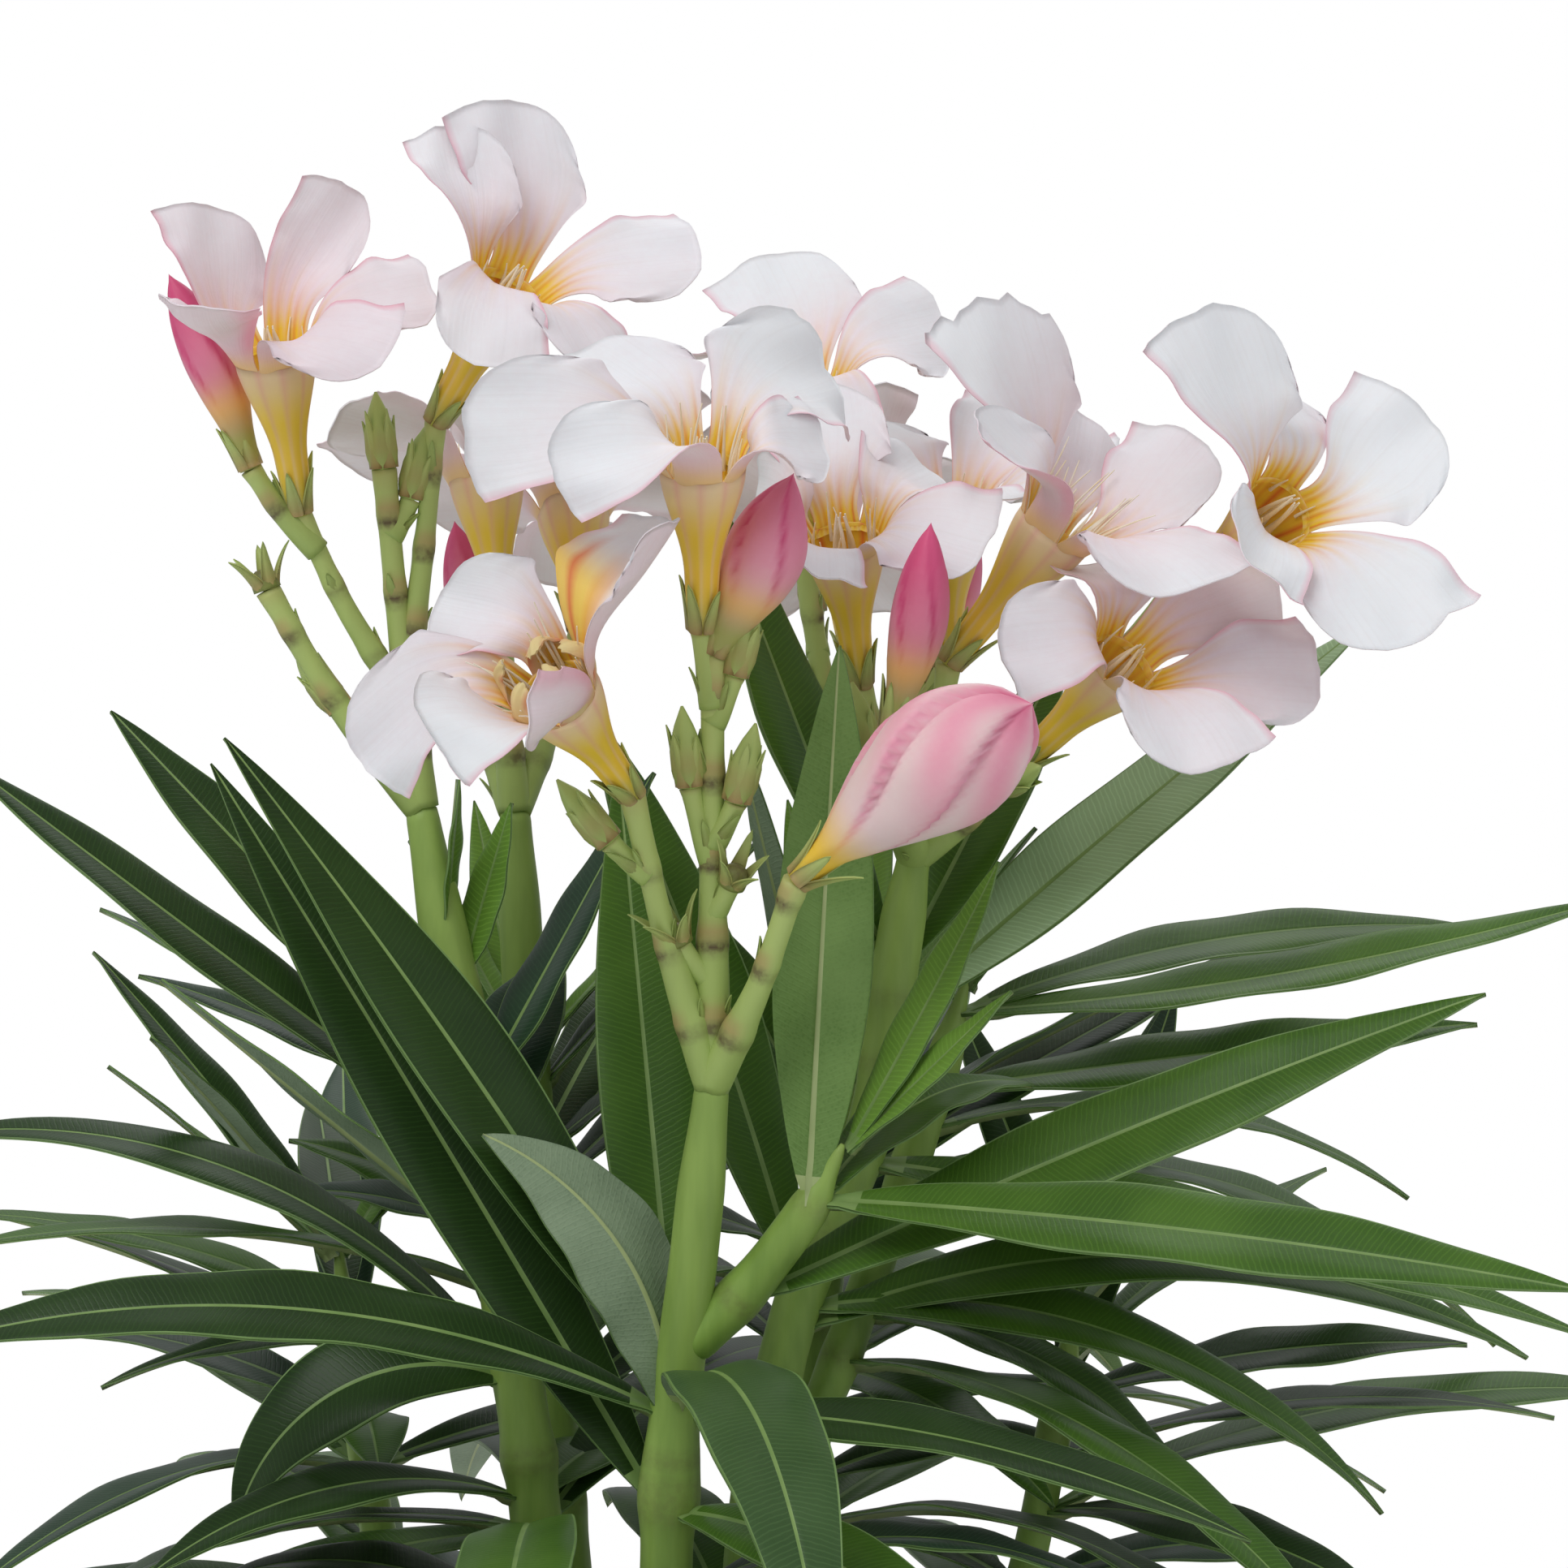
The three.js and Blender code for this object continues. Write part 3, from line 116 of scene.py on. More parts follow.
# Each shoot's whorls lie between two shares of its length, and rise by the two numbers of degrees in `rises`.
# A leaf given one by one: place on its shoot, azimuth, rise, droop along its length, length, width, roll
# about its midrib, and its finish where that is its own.
SHOOTS = [
    dict(
        name="front_shoot", on="bough_front", radii=(4.5, 3.6),
        path=[(-3, -9, 330), (-3.5, -9, 366), (-2, -8, 395), (1, -9, 420), (4, -10, 448)],
        whorls=dict(start=0.04, end=0.2, count=2, azimuth=25),
        leaves=[
            (0.5, 188, 30, 46, 122, 16, -24),
            (0.49, 182, 93, 69, 57, 18, 130),
            (0.52, -74, 42, 112, 98, 19, 0, "leaf_soft"),
            (0.55, 178, 58, 8, 122, 17, -38),
            (0.55, 104, 75, 0, 100, 16, -6),
            (0.5, -20, 8, 28, 92, 16, 8),
            (0.36, 168, 66, 2, 138, 17, -40),
            (0.36, -50, 14, 52, 96, 17, 10),
        ],
    ),
    dict(
        name="front_side_shoot", on="front_shoot", radii=(3.7, 3.0),
        path=[(-1, -8, 405), (9, -9, 415), (19, -11, 429), (24, -12, 439)],
        leaves=[
            (0.3, 4, 25, 6, 124, 17, 34),
            (0.68, -112, 88, -1, 86, 16, 4),
            (0.7, -6, 2, 8, 116, 17, 26),
            (0.7, 42, 44, 62, 50, 16, 0),
            (0.97, 10, 60, -4, 50, 9, 30),
            (0.97, -10, 46, 0, 36, 7, 30),
        ],
    ),
    dict(
        name="right_shoot", on="bough_right", radii=(4.2, 3.7),
        path=[(8, 8, 338), (10, 12, 372), (17, 19, 404), (29, 24, 433), (33, 26, 459), (36, 27, 477)],
        whorls=dict(start=0.05, end=0.05, count=1, azimuth=100),
        leaves=[
            (0.38, 8, 24, 54, 124, 17, 18),
            (0.4, -16, 11, 60, 104, 17, 14),
            (0.42, 124, 62, 16, 108, 18, 0),
            (0.56, -8, -25, 14, 120, 17, 16),
            (0.57, 74, 40, 40, 90, 17, 0),
            # This leaf's pale green finish is painted backlight and sheen on a leaf that lies in shade.
            (0.73, 20, 38, 4, 104, 17, 26, "leaf_pale"),
            (0.8, 34, 60, 0, 66, 15, 10),
            (0.8, 156, 76, 0, 108, 17, -8),
        ],
    ),
    dict(
        name="right_side_shoot", on="right_shoot", radii=(3.5, 2.9),
        path=[(9, 11, 362), (24, 28, 392), (38, 36, 430), (45, 38, 454)],
        whorls=dict(start=0.34, end=0.6, count=2, azimuth=65, rises=(10, 30)),
        leaves=[
            (0.93, 10, 20, 26, 90, 15, 12),
            (0.93, -10, 8, -12, 110, 15, 16),
            (0.74, -8, 10, 2, 88, 16, 18),
            (0.98, 30, 62, 0, 34, 6, 0),
            (0.98, 80, 68, 0, 36, 7, 0),
        ],
    ),
    dict(
        name="left_shoot", on="bough_left", radii=(4.4, 4.0),
        path=[(-23, 12, 340), (-25, 13, 368), (-28, 16, 393), (-36, 26, 440), (-44, 33, 484)],
        whorls=dict(start=0.05, end=0.26, count=2, azimuth=100, rises=(12, 30)),
        leaves=[
            (0.5, -165, 28, 108, 58, 18, -30),
            (0.5, 176, 54, 66, 112, 15, -6),
            (0.52, 96, 50, 30, 96, 17, 0),
            (0.7, 172, 36, 0, 104, 16, -16),
            (0.62, -176, 41, 0, 68, 15, 24),
            (0.7, 84, 46, 40, 70, 16, 0),
            (0.75, 154, 40, 0, 88, 16, -22),
            (0.84, 28, 72, 0, 30, 8, 20),
            (0.74, 34, 46, 0, 60, 14, 0),
            (0.86, 150, 80, 4, 30, 7, 20),
        ],
    ),
    dict(
        name="left_low_shoot", on="bough_left_low", radii=(3.5, 2.7),
        path=[(-46, -3, 312), (-52, -8, 326), (-58, -14, 338), (-62, -18, 348)],
        whorls=dict(start=0.1, end=0.97, count=4, azimuth=155, rises=(6, 46)),
    ),
    dict(
        name="right_low_shoot", on="bough_right_low", radii=(3.5, 2.7),
        path=[(27, -32, 298), (34, -39, 314), (40, -45, 328), (44, -49, 338)],
        whorls=dict(start=0.1, end=0.97, count=4, azimuth=-35, rises=(6, 46)),
    ),
    dict(
        name="front_lowest_shoot", on="bough_front_lowest", radii=(3.1, 2.5),
        path=[(-26, -32, 254), (-28, -42, 272), (-30, -51, 291), (-31, -56, 306)],
        whorls=dict(start=0.12, end=0.97, count=4, azimuth=200, rises=(4, 50)),
    ),
    dict(
        name="left_lowest_shoot", on="bough_left_lowest", radii=(3.1, 2.5),
        path=[(-54, 28, 252), (-64, 30, 270), (-72, 32, 290), (-76, 33, 304)],
        whorls=dict(start=0.12, end=0.97, count=4, azimuth=190, rises=(4, 44)),
    ),
    dict(
        name="right_lowest_shoot", on="bough_right_lowest", radii=(3.1, 2.5),
        path=[(51, 4, 254), (60, -1, 271), (68, -5, 291), (72, -7, 306)],
        whorls=dict(start=0.12, end=0.97, count=4, azimuth=330, rises=(4, 44)),
    ),
    dict(
        name="back_left_shoot", on="bough_back_left", radii=(4.2, 3.6),
        path=[(-22, 51, 346), (-26, 58, 392), (-29, 63, 436), (-31, 66, 478)],
        whorls=dict(start=0.06, end=0.62, count=5, azimuth=100, rises=(14, 46)),
    ),
    dict(
        name="back_left_low_shoot", on="bough_back_left_low", radii=(3.5, 2.7),
        path=[(-44, 52, 306), (-54, 60, 342), (-60, 66, 376), (-63, 69, 402)],
        whorls=dict(start=0.08, end=0.97, count=5, azimuth=135, rises=(8, 44)),
    ),
    dict(
        name="back_right_shoot", on="bough_back_right", radii=(4.3, 3.6),
        path=[(17, 48, 348), (21, 55, 394), (24, 60, 436), (26, 63, 478)],
        whorls=dict(start=0.06, end=0.62, count=5, azimuth=75, rises=(14, 46)),
    ),
    dict(
        name="back_right_low_shoot", on="bough_back_right_low", radii=(3.5, 2.7),
        path=[(42, 36, 310), (54, 42, 342), (61, 47, 374), (65, 50, 398)],
        whorls=dict(start=0.08, end=0.97, count=5, azimuth=40, rises=(8, 44)),
    ),
]

# A flower head grows on a shoot's tip. Each twig: the twig it leaves (-1 is the tip), where along it,
# azimuth, rise, length, what it ends in, and the way that faces: azimuth, rise, turn about its own axis, and
# how open it is.
HEADS = [
    dict(
        name="front_flowers", on="front_shoot",
        twigs=[
            (-1, 0, 85, 88, 66, "plump", -4, 66, 0, 1),
            (-1, 0, 190, 75, 47, "flower", -120, 41, 40, 0.9),
            (-1, 0, -42, 63, 38, "fat", -14, 38, 0, 1),
            (0, 0.88, -165, 82, 12, "flower", -88, 70, 8, 1),
            (0, 0.84, 10, 66, 8, "green", 10, 74, 0, 1),
            (0, 0.52, 176, 74, 12, "green", 170, 84, 0, 1),
            (0, 0.24, 196, 50, 8, "spent", 190, 66, 0, 1),
            (0, 0.4, -35, 55, 6, "spent", -40, 60, 0, 1),
            (1, 0.72, 178, 40, 8, "green", 176, 50, 0, 1),
            (0, 0.56, -25, 60, 8, "green", -10, 76, 30, 1),
        ],
    ),
    dict(
        name="left_flowers", on="left_shoot",
        twigs=[
            (-1, 0, 158, 84, 55, "green", 160, 84, 0, 1),
            (-1, 0, 184, 56, 43, "spent", 170, 70, 0, 1),
            (0, 0.3, 188, 62, 36, "flower", -106, 70, 26, 0.66),
            (0, 0.36, 30, 82, 43, "flower", -40, 52, 62, 1),
            (2, 0.8, 196, 52, 17, "bud", 178, 68, 0, 1),
            (1, 0.34, 176, 52, 5, "green", 170, 52, 0, 1),
            (0, 0.8, 20, 60, 7, "green", 20, 76, 0, 1),
        ],
    ),
    dict(
        name="right_flowers", on="right_shoot",
        twigs=[
            (-1, 0, -100, 42, 36, "bud", -30, 78, 0, 1),
            (-1, 0, -50, 76, 33, "flower", -14, 52, 30, 0.9),
            (-1, 0, -14, 42, 24, "flower", -46, 40, 22, 1),
            (-1, 0, 14, 44, 63, "flower", -58, 28, 52, 1),
            (-1, 0, 168, 72, 29, "flower", -104, 64, 0, 1),
            (0, 0.5, 188, 50, 8, "green", 185, 78, 0, 1),
            (2, 0.6, -70, 30, 6, "green", -60, 22, 0, 1),
        ],
    ),
    dict(
        name="back_left_flowers", on="back_left_shoot",
        twigs=[
            (-1, 0, 130, 84, 30, "flower", 110, 70, 15, 1),
            (-1, 0, 62, 52, 36, "flower", 96, 44, 50, 1),
            (-1, 0, 120, 50, 22, "bud", 110, 66, 0, 1),
            (0, 0.6, 160, 56, 8, "green", 150, 70, 0, 1),
        ],
    ),
    dict(
        name="back_right_flowers", on="back_right_shoot",
        twigs=[
            (-1, 0, 190, 80, 46, "flower", -90, 80, 30, 1),
            (-1, 0, 18, 54, 30, "flower", -90, 74, 0, 0.9),
            (-1, 0, 88, 46, 34, "flower", 96, 36, 20, 1),
            (0, 0.6, 100, 60, 8, "green", 100, 74, 0, 1),
            (1, 0.6, 60, 50, 8, "bud", 60, 66, 0, 1),
        ],
    ),
]

# Petals given one by one, by flower head and twig. Each: azimuth, rise, length, width (below 0 for one whose
# pointed corner is on the other side), roll, how far its tip curls back, how far its edges stand up, and
# where it needs them how torn its end is and how stained one side of it.
PETALS = {
    ("left_flowers", 2): [
        (-105, 5, 23, 17, 34, -36, 0.5),
        (-20, -3, 23, 19, 0, 34, 0.1),
        (16, 2, 24, 18, 30, 0, 0.1),
        (20, 51, 27, 14, 40, -10, 0.3),
        (91, 67, 24, 20, 0, 8, 0.1),
    ],
    ("left_flowers", 3): [
        (110, 78, 28, 21, 0, 8, 0.1),
        (112, 54, 25, 16, -78, -16, 0.35),
        (-110, -58, 21, 18, 0, 16, 0.1),
        (-48, -46, 22, 18, 0, 10, 0.1),
        (8, 2, 27, 20, 10, 6, 0.1),
    ],
    ("front_flowers", 3): [
        (55, 22, 29, -24, 62, 8, 0.1, 0.008),
        (140, 32, 25, 20, 0, 10, 0.15),
        (-173, -2, 34, 21, -60, -8, 0.1),
        (-168, 0, 29, 17, -50, 10, 0.1),
        (40, -8, 19, 16, 0, 10, 0.1),
    ],
    ("front_flowers", 1): [
        (25, 40, 28, 22, -36, -14, 0.6, 0.004, 0.9),
        (143, 6, 23, 18, 0, -16, 0.3),
        (155, -36, 32, 18, -50, 0, 0.2),
        (-140, 16, 23, 20, -40, 24, 0.1),
        (-119, -20, 17, 14, 20, -20, 0.3),
    ],
    ("right_flowers", 4): [
        (70, 0, 24, 20, 20, 0, 0.1),
        (90, 50, 26, 22, 0, 10, 0.1),
        (105, 10, 22, 17, -30, 10, 0.1),
        (-94, -12, 18, 14, -20, 10, 0.1),
        (-22, -14, 23, 19, 30, 10, 0.1),
    ],
    ("right_flowers", 1): [
        (-48, -18, 26, 26, 50, 24, 0.1),
        (27, 38, 27, 21, 30, 0, 0.15),
        (67, 41, 22, 18, 0, 10, 0.1),
        (176, 70, 34, 22, -60, -8, 0.25, 0.014),
        (-170, 34, 25, 14, -40, -24, 0.5),
    ],
    ("right_flowers", 3): [
        (12, 42, 25, 23, 0, 8, 0.1),
        (118, 36, 22, 18, 0, 8, 0.1),
        (160, 70, 33, 22, -20, 0, 0.15),
        (-125, -24, 20, 18, 0, -40, 0.35),
        (-58, -36, 29, 24, 34, 18, 0.1),
    ],
    ("right_flowers", 2): [
        (23, 10, 26, 21, 0, 8, 0.1),
        (104, 14, 21, 18, 0, 10, 0.1),
        (-158, 0, 24, 18, -20, 0, 0.1),
        (-58, -31, 26, 20, 42, 24, 0.15),
        (20, -6, 29, 19, 24, 10, 0.15),
    ],
    ("back_right_flowers", 0): [
        (40, 0, 27, 21, 50, 0, 0.1),
        (108, 38, 28, 23, 0, -6, 0.1),
        (116, 0, 22, 18, 0, 10, 0.1),
        (-108, -30, 20, 17, 0, 16, 0.1),
        (-92, -38, 20, 17, 0, 16, 0.1),
    ],
}

# How many threads each petal's fringe has in the throat, and their length against the usual one.
USUAL_FRINGE = (3, 0.9)
FRINGE = {
    ("left_flowers", 2): (1, 0.8), ("left_flowers", 3): (1, 0.4), ("right_flowers", 3): (1, 0.4),
    ("right_flowers", 2): (1, 0.9), ("right_flowers", 1): (5, 1.5), ("right_flowers", 4): (2, 0.9),
    ("front_flowers", 1): (4, 1.2), ("front_flowers", 3): (3, 1.0), ("back_right_flowers", 0): (2, 0.7),
}
# Flowers whose inner parts have begun to wither.
FADING = [("front_flowers", 1)]
# How much rosier than the usual the faces of a flower's petals are.
USUAL_DUSK = 0
DUSKY = {
    ("left_flowers", 2): 0.08, ("left_flowers", 3): 0.03,
    ("right_flowers", 2): 0.03, ("right_flowers", 3): -0.04,
}
# How rosy the backs of a flower's petals are.
USUAL_ROSE = 0.35
ROSE = {
    ("left_flowers", 2): 1.0, ("right_flowers", 3): 1.6,
    ("front_flowers", 1): 0.8, ("right_flowers", 1): 0.8,
}


# ---------------------------------------------------------------- small tools
def mix(a, b, t):
    """From a, where t is 0, to b, where t is 1."""
    return a + (b - a) * t


def smooth(t):
    """From 0 to 1 as t goes from 0 to 1, level at both ends."""
    t = np.clip(t, 0, 1)
    return t * t * (3 - 2 * t)


def towards(azimuth, rise):
    """The unit vector of an azimuth and a rise."""
    a, r = np.radians(azimuth), np.radians(rise)
    return np.stack([np.cos(r) * np.cos(a), np.cos(r) * np.sin(a), np.sin(r) + 0 * a], axis=-1)


def unit(v):
    """v made one long."""
    return v / np.linalg.norm(v, axis=-1, keepdims=True)


def turned(v, axis, degrees):
    """v turned about a unit axis."""
    c, s = math.cos(math.radians(degrees)), math.sin(math.radians(degrees))
    return v * c + np.cross(axis, v) * s + axis * np.dot(axis, v) * (1 - c)


def dice(seed):
    """Park-Miller dice: a seed always gives the same draws, each from 0 to 1."""
    modulus = 2147483647
    state = (seed * 7919 + 101) % modulus

    def draw():
        nonlocal state
        state = (state * 16807) % modulus
        return state / modulus

    draw()
    draw()
    return draw


class Path:
    """A smooth line through a limb's stations."""

    def __init__(self, stations):
        p = np.array(stations, float)
        self.points = np.vstack([p[0] - p[1] + p[0], p, p[-1] - p[-2] + p[-1]])

    def at(self, t):
        """The places at shares of the line, from 0 to 1."""
        spans = len(self.points) - 3
        place = np.atleast_1d(np.asarray(t, float)) * spans
        first = np.minimum(np.floor(place).astype(int), spans - 1)
        w = (place - first)[:, None]
        a, b, c, d = (self.points[first + k] for k in range(4))
        out, arrive = 0.5 * (c - a), 0.5 * (d - b)
        cubic = 2 * b - 2 * c + out + arrive
        square = -3 * b + 3 * c - 2 * out - arrive
        made = ((cubic * w * w * w + square * w * w) + out * w) + b
        return made if np.ndim(t) else made[0]

    def along(self, t):
        """The way that the line runs there."""
        t = np.asarray(t, float)
        return unit(self.at(np.minimum(t + 1e-4, 1)) - self.at(np.maximum(t - 1e-4, 0)))

    def length(self):
        """The line's length."""
        return np.linalg.norm(np.diff(self.at(np.linspace(0, 1, 201)), axis=0), axis=1).sum()


def square_to(direction):
    """Two unit vectors square to a direction and to each other."""
    reference = np.array([0, 0, 1.0]) if abs(direction[2]) < 0.9 else np.array([1.0, 0, 0])
    side = unit(np.cross(reference, direction))
    return side, np.cross(direction, side)


def turns_round(count):
    """Even turns once round, in radians."""
    return 2 * np.pi * np.arange(count) / count


def spokes(count, side, other):
    """Unit vectors once round, in the plane of two that are square to each other."""
    turns = turns_round(count)
    return np.cos(turns)[:, None] * side + np.sin(turns)[:, None] * other


def ripple(x, y, seed):
    """A cheap seeded waviness from -1 to 1 over two coordinates."""
    draw = dice(seed)
    total = 0
    for _ in range(4):
        a, b, c = 2 * draw() - 1, 2 * draw() - 1, 6.3 * draw()
        total = total + np.sin(a * x + b * y + c)
    return total / 4


# ---------------------------------------------------------------- space
# Limbs, blades and flowers claim the cells that they pass through, as they do among the solids.
def limb_of(kind, name, on, foot_radius, tip_radius, path):
    """A stem or bough, from its row."""
    return dict(kind=kind, name=name, on=on, radii=(foot_radius, tip_radius), path=path)


LIMBS = {
    **{row[0]: limb_of("stem", *row) for row in STEMS},
    **{row[0]: limb_of("bough", *row) for row in BOUGHS},
    **{shoot["name"]: dict(shoot, kind="shoot") for shoot in SHOOTS},
}
# A bit for each mass of leaves and flowers and each limb, so that a cell can tell all that pass through it.
OWNERS = {name: 1 << k for k, name in enumerate([*LIMBS, *(head["name"] for head in HEADS)])}
# How many cells there are each way, and which one the origin lies in.
REACH = (160, 160, 240)
OFFSET = np.array([80, 80, 20])
near = np.zeros(REACH, np.int64)
inside = np.zeros(REACH, np.int64)


def cells(points):
    """The cells that points lie in."""
    return (np.floor(points / CELL).astype(int) + OFFSET).T


def claim(points, owner):
    """Marks the cells that points lie in, and those beside them, as their owner's."""
    i, j, k = cells(np.asarray(points).reshape(-1, 3))
    inside[i, j, k] |= OWNERS[owner]
    for di in (-1, 0, 1):
        for dj in (-1, 0, 1):
            for dk in (-1, 0, 1):
                near[i + di, j + dj, k + dk] |= OWNERS[owner]


def taken(points, run, owner):
    """Whether a leaf would touch another part, or its own shoot's other leaves away from its foot."""
    i, j, k = cells(points)
    own = (inside[i, j, k] & OWNERS[owner] != 0) & (run > OWN_ROOT)
    others = (near[i, j, k] & ~OWNERS[owner] != 0) & (run > FREE_ROOT)
    return bool(np.any(own | others))


def goes_on(limb):
    """Whether a limb goes on from its parent's tip, and not from its side."""
    if limb["on"] is None:
        return False
    return np.linalg.norm(np.subtract(limb["path"][0], LIMBS[limb["on"]]["path"][-1])) < GAP


def mounting(end, azimuth, rise, turn, opening):
    """Where a flower, bud or calyx starts, and its own axes: `axis` is the way it faces."""
    axis = towards(azimuth, rise)
    side, other = (turned(way, axis, turn) for way in square_to(axis))
    return dict(end=end, axis=axis, side=side, other=other, open=opening)


def twigs_of(head):
    """A head's twigs, each from its parent twig or from the shoot's tip, bent a little upwards."""
    shoot = LIMBS[head["on"]]
    made = []
    for place, (parent, t, azimuth, rise, length, kind, *facing) in enumerate(head["twigs"]):
        start = np.array(shoot["path"][-1], float) if parent < 0 else made[parent]["path"].at(t)
        end = start + towards(azimuth, rise) * length
        bow = (start + end) / 2 + towards(azimuth, 0) * (length / 14) * math.cos(math.radians(rise))
        flower = (head["name"], place)
        made.append(dict(
            path=Path([start, bow, end]), kind=kind, parent=parent, seed=100 * len(head["name"]) + 17 * place,
            petals=PETALS.get(flower), fringe=FRINGE.get(flower, USUAL_FRINGE), fading=flower in FADING,
            dusky=DUSKY.get(flower, USUAL_DUSK), rose=ROSE.get(flower, USUAL_ROSE), **mounting(end, *facing),
        ))
    return made


def claim_limbs():
    """Claims the space of every limb, stalk, bud and flower, before any leaf grows."""
    for limb in LIMBS.values():
        path = Path(limb["path"])
        steps = math.ceil(path.length() / 3)
        first = 4 if limb["on"] and not goes_on(limb) else 0
        for i in range(first, steps + 1):
            side, other = square_to(path.along(i / steps))
            claim(path.at(i / steps) + mix(*limb["radii"], i / steps) * spokes(8, side, other), limb["name"])
    for head in HEADS:
        for twig in twigs_of(head):
            reach = FLOWER["tube"] + 8 if twig["kind"] == "flower" else 30
            line = twig["end"] + twig["axis"] * (reach * np.arange(12) / 11)[:, None]
            claim(np.vstack([twig["path"].at(np.linspace(0, 1, 13)), line]), head["name"])
            if twig["kind"] == "flower":
                mouth = twig["end"] + twig["axis"] * (FLOWER["tube"] + 4)
                k = np.arange(90)[:, None]
                disc = np.cos(2.4 * k) * twig["side"] + np.sin(2.4 * k) * twig["other"]
                claim(mouth + (FLOWER["petal"] + 3) * np.sqrt(k / 89) * disc, head["name"])


# ---------------------------------------------------------------- where the leaves grow
NO_WHORLS = dict(start=0, end=0, count=0)
USUAL_RISES = (22, 68)


def spine(leaf, steps):
    """The midrib, walked in short steps: the shares of its length, the places, the ways across the blade and
    the upper face's normals."""
    s = np.arange(steps + 1) / steps
    a, r, roll = (np.radians(x) for x in (leaf["azimuth"], leaf["rise"] - leaf["droop"] * s, leaf["roll"]))
    walk = towards(leaf["azimuth"], leaf["rise"] - leaf["droop"] * (s[:-1] + 0.5 / steps))
    place = np.cumsum(np.vstack([leaf["foot"], walk * (leaf["length"] / steps)]), axis=0)
    across = np.array([-math.sin(a), math.cos(a), 0.0])
    up = np.stack([-np.sin(r) * math.cos(a), -np.sin(r) * math.sin(a), np.cos(r)], axis=1)
    normal = up * math.cos(roll) - across * math.sin(roll)
    return s, place, across * math.cos(roll) + up * math.sin(roll), normal


def lance(s):
    """The blade's half width along its length, as a share of its width: a short stalk, then a lance."""
    half = 0.5 * np.maximum(0.16, np.maximum(np.sin(np.pi * s**0.86), 0) ** 0.85)
    return np.where(s > 0.995, 0, half)


def blade_points(leaf):
    """Points all over the blade, about 2 mm apart, and how far each is from the leaf's foot."""
    s, place, across, normal = spine(leaf, math.ceil(leaf["length"] / 2))
    rows = math.ceil(leaf["width"] / 4)
    v = (np.arange(2 * rows + 1) / rows - 1)[None, :, None]
    half = (leaf["width"] * lance(s))[:, None, None]
    fold = math.radians(LEAF["fold"])
    points = place[:, None] + across[:, None] * (v * half * math.cos(fold))
    points = points + normal[:, None] * (np.abs(v) * half * math.sin(fold))
    return points.reshape(-1, 3), np.repeat(s * leaf["length"], 2 * rows + 1)


def plan(shoot, index):
    """A shoot's leaves: listed ones, then whorls of three, each turned 60 degrees from the one below."""
    names = ("t", "azimuth", "rise", "droop", "length", "width", "roll", "tone")
    by_hand = [dict(zip(names, row), turns=SMALL_TURNS) for row in shoot.get("leaves", [])]
    return by_hand + whorled(shoot, index)


def whorled(shoot, index):
    """A shoot's whorls. With no listed leaves above them they rise, shorten and straighten upwards."""
    leaves = []
    whorls = shoot.get("whorls", NO_WHORLS)
    low, high = whorls.get("rises", USUAL_RISES)
    for w in range(whorls["count"]):
        share = w / (whorls["count"] - 1) if whorls["count"] > 1 else 0
        tip = 0 if shoot.get("leaves") else share
        for k in range(3):
            draw = dice(index * 100 + w * 10 + k)
            leaves.append(dict(
                t=mix(whorls["start"], whorls["end"], share),
                azimuth=whorls["azimuth"] + 60 * w + 120 * k + LEAF["jitter"] * (2 * draw() - 1),
                rise=mix(low, high, tip**1.3) + 10 * (draw() - 0.5),
                droop=mix(58, 6, tip) + 16 * (draw() - 0.5),
                length=LEAF["length"] * mix(1, 0.55, tip**3) * mix(0.88, 1.1, draw()),
                width=LEAF["width"] * mix(1, 0.6, tip**4) * mix(0.92, 1.08, draw()),
                roll=24 * (draw() - 0.5),
                turns=TURNS,
            ))
    return leaves


def finer(shoot, index):
    """Shorter leaves between a shoot's whorls, which fill the space that its long ones left free."""
    whorls = shoot.get("whorls", NO_WHORLS)
    half = (whorls["end"] - whorls["start"]) / (2 * max(whorls["count"], 1))
    return [
        {**leaf, "t": min(leaf["t"] + half, 0.96), "azimuth": leaf["azimuth"] + 28, "roll": -leaf["roll"],
         "length": 0.74 * leaf["length"], "width": 0.86 * leaf["width"]}
        for leaf in whorled(shoot, index)
    ]


def grow(shoot, index, leaves):
    """A leaf whose space is taken is turned, lifted or shortened, and left out where nothing helps."""
    path = Path(shoot["path"])
    grown = []
    for leaf in leaves:
        radius = mix(*shoot["radii"], leaf["t"])
        tries = ((share, lift, turn) for share in SHARES for lift in LIFTS for turn in leaf["turns"])
        for share, lift, turn in tries:
            azimuth = leaf["azimuth"] + turn
            foot = path.at(leaf["t"]) + towards(azimuth, 0) * (radius * 0.35)
            tried = {
                **leaf, "azimuth": azimuth, "foot": foot, "rise": leaf["rise"] + lift,
                "length": leaf["length"] * share, "shoot": shoot["name"], "seed": 31 * index + len(grown),
            }
            points, run = blade_points(tried)
            if not taken(points, run, shoot["name"]):
                claim(points, shoot["name"])
                grown.append(tried)
                break
    return grown


def grow_all():
    """All the leaves: those that the solids have, shoots with listed ones first, then the finer ones."""
    claim_limbs()
    order = sorted(range(len(SHOOTS)), key=lambda k: (not SHOOTS[k].get("leaves"), k))
    main = [leaf for k in order for leaf in grow(SHOOTS[k], k + 1, plan(SHOOTS[k], k + 1))]
    return main + [leaf for k in order for leaf in grow(SHOOTS[k], k + 1, finer(SHOOTS[k], k + 1))]


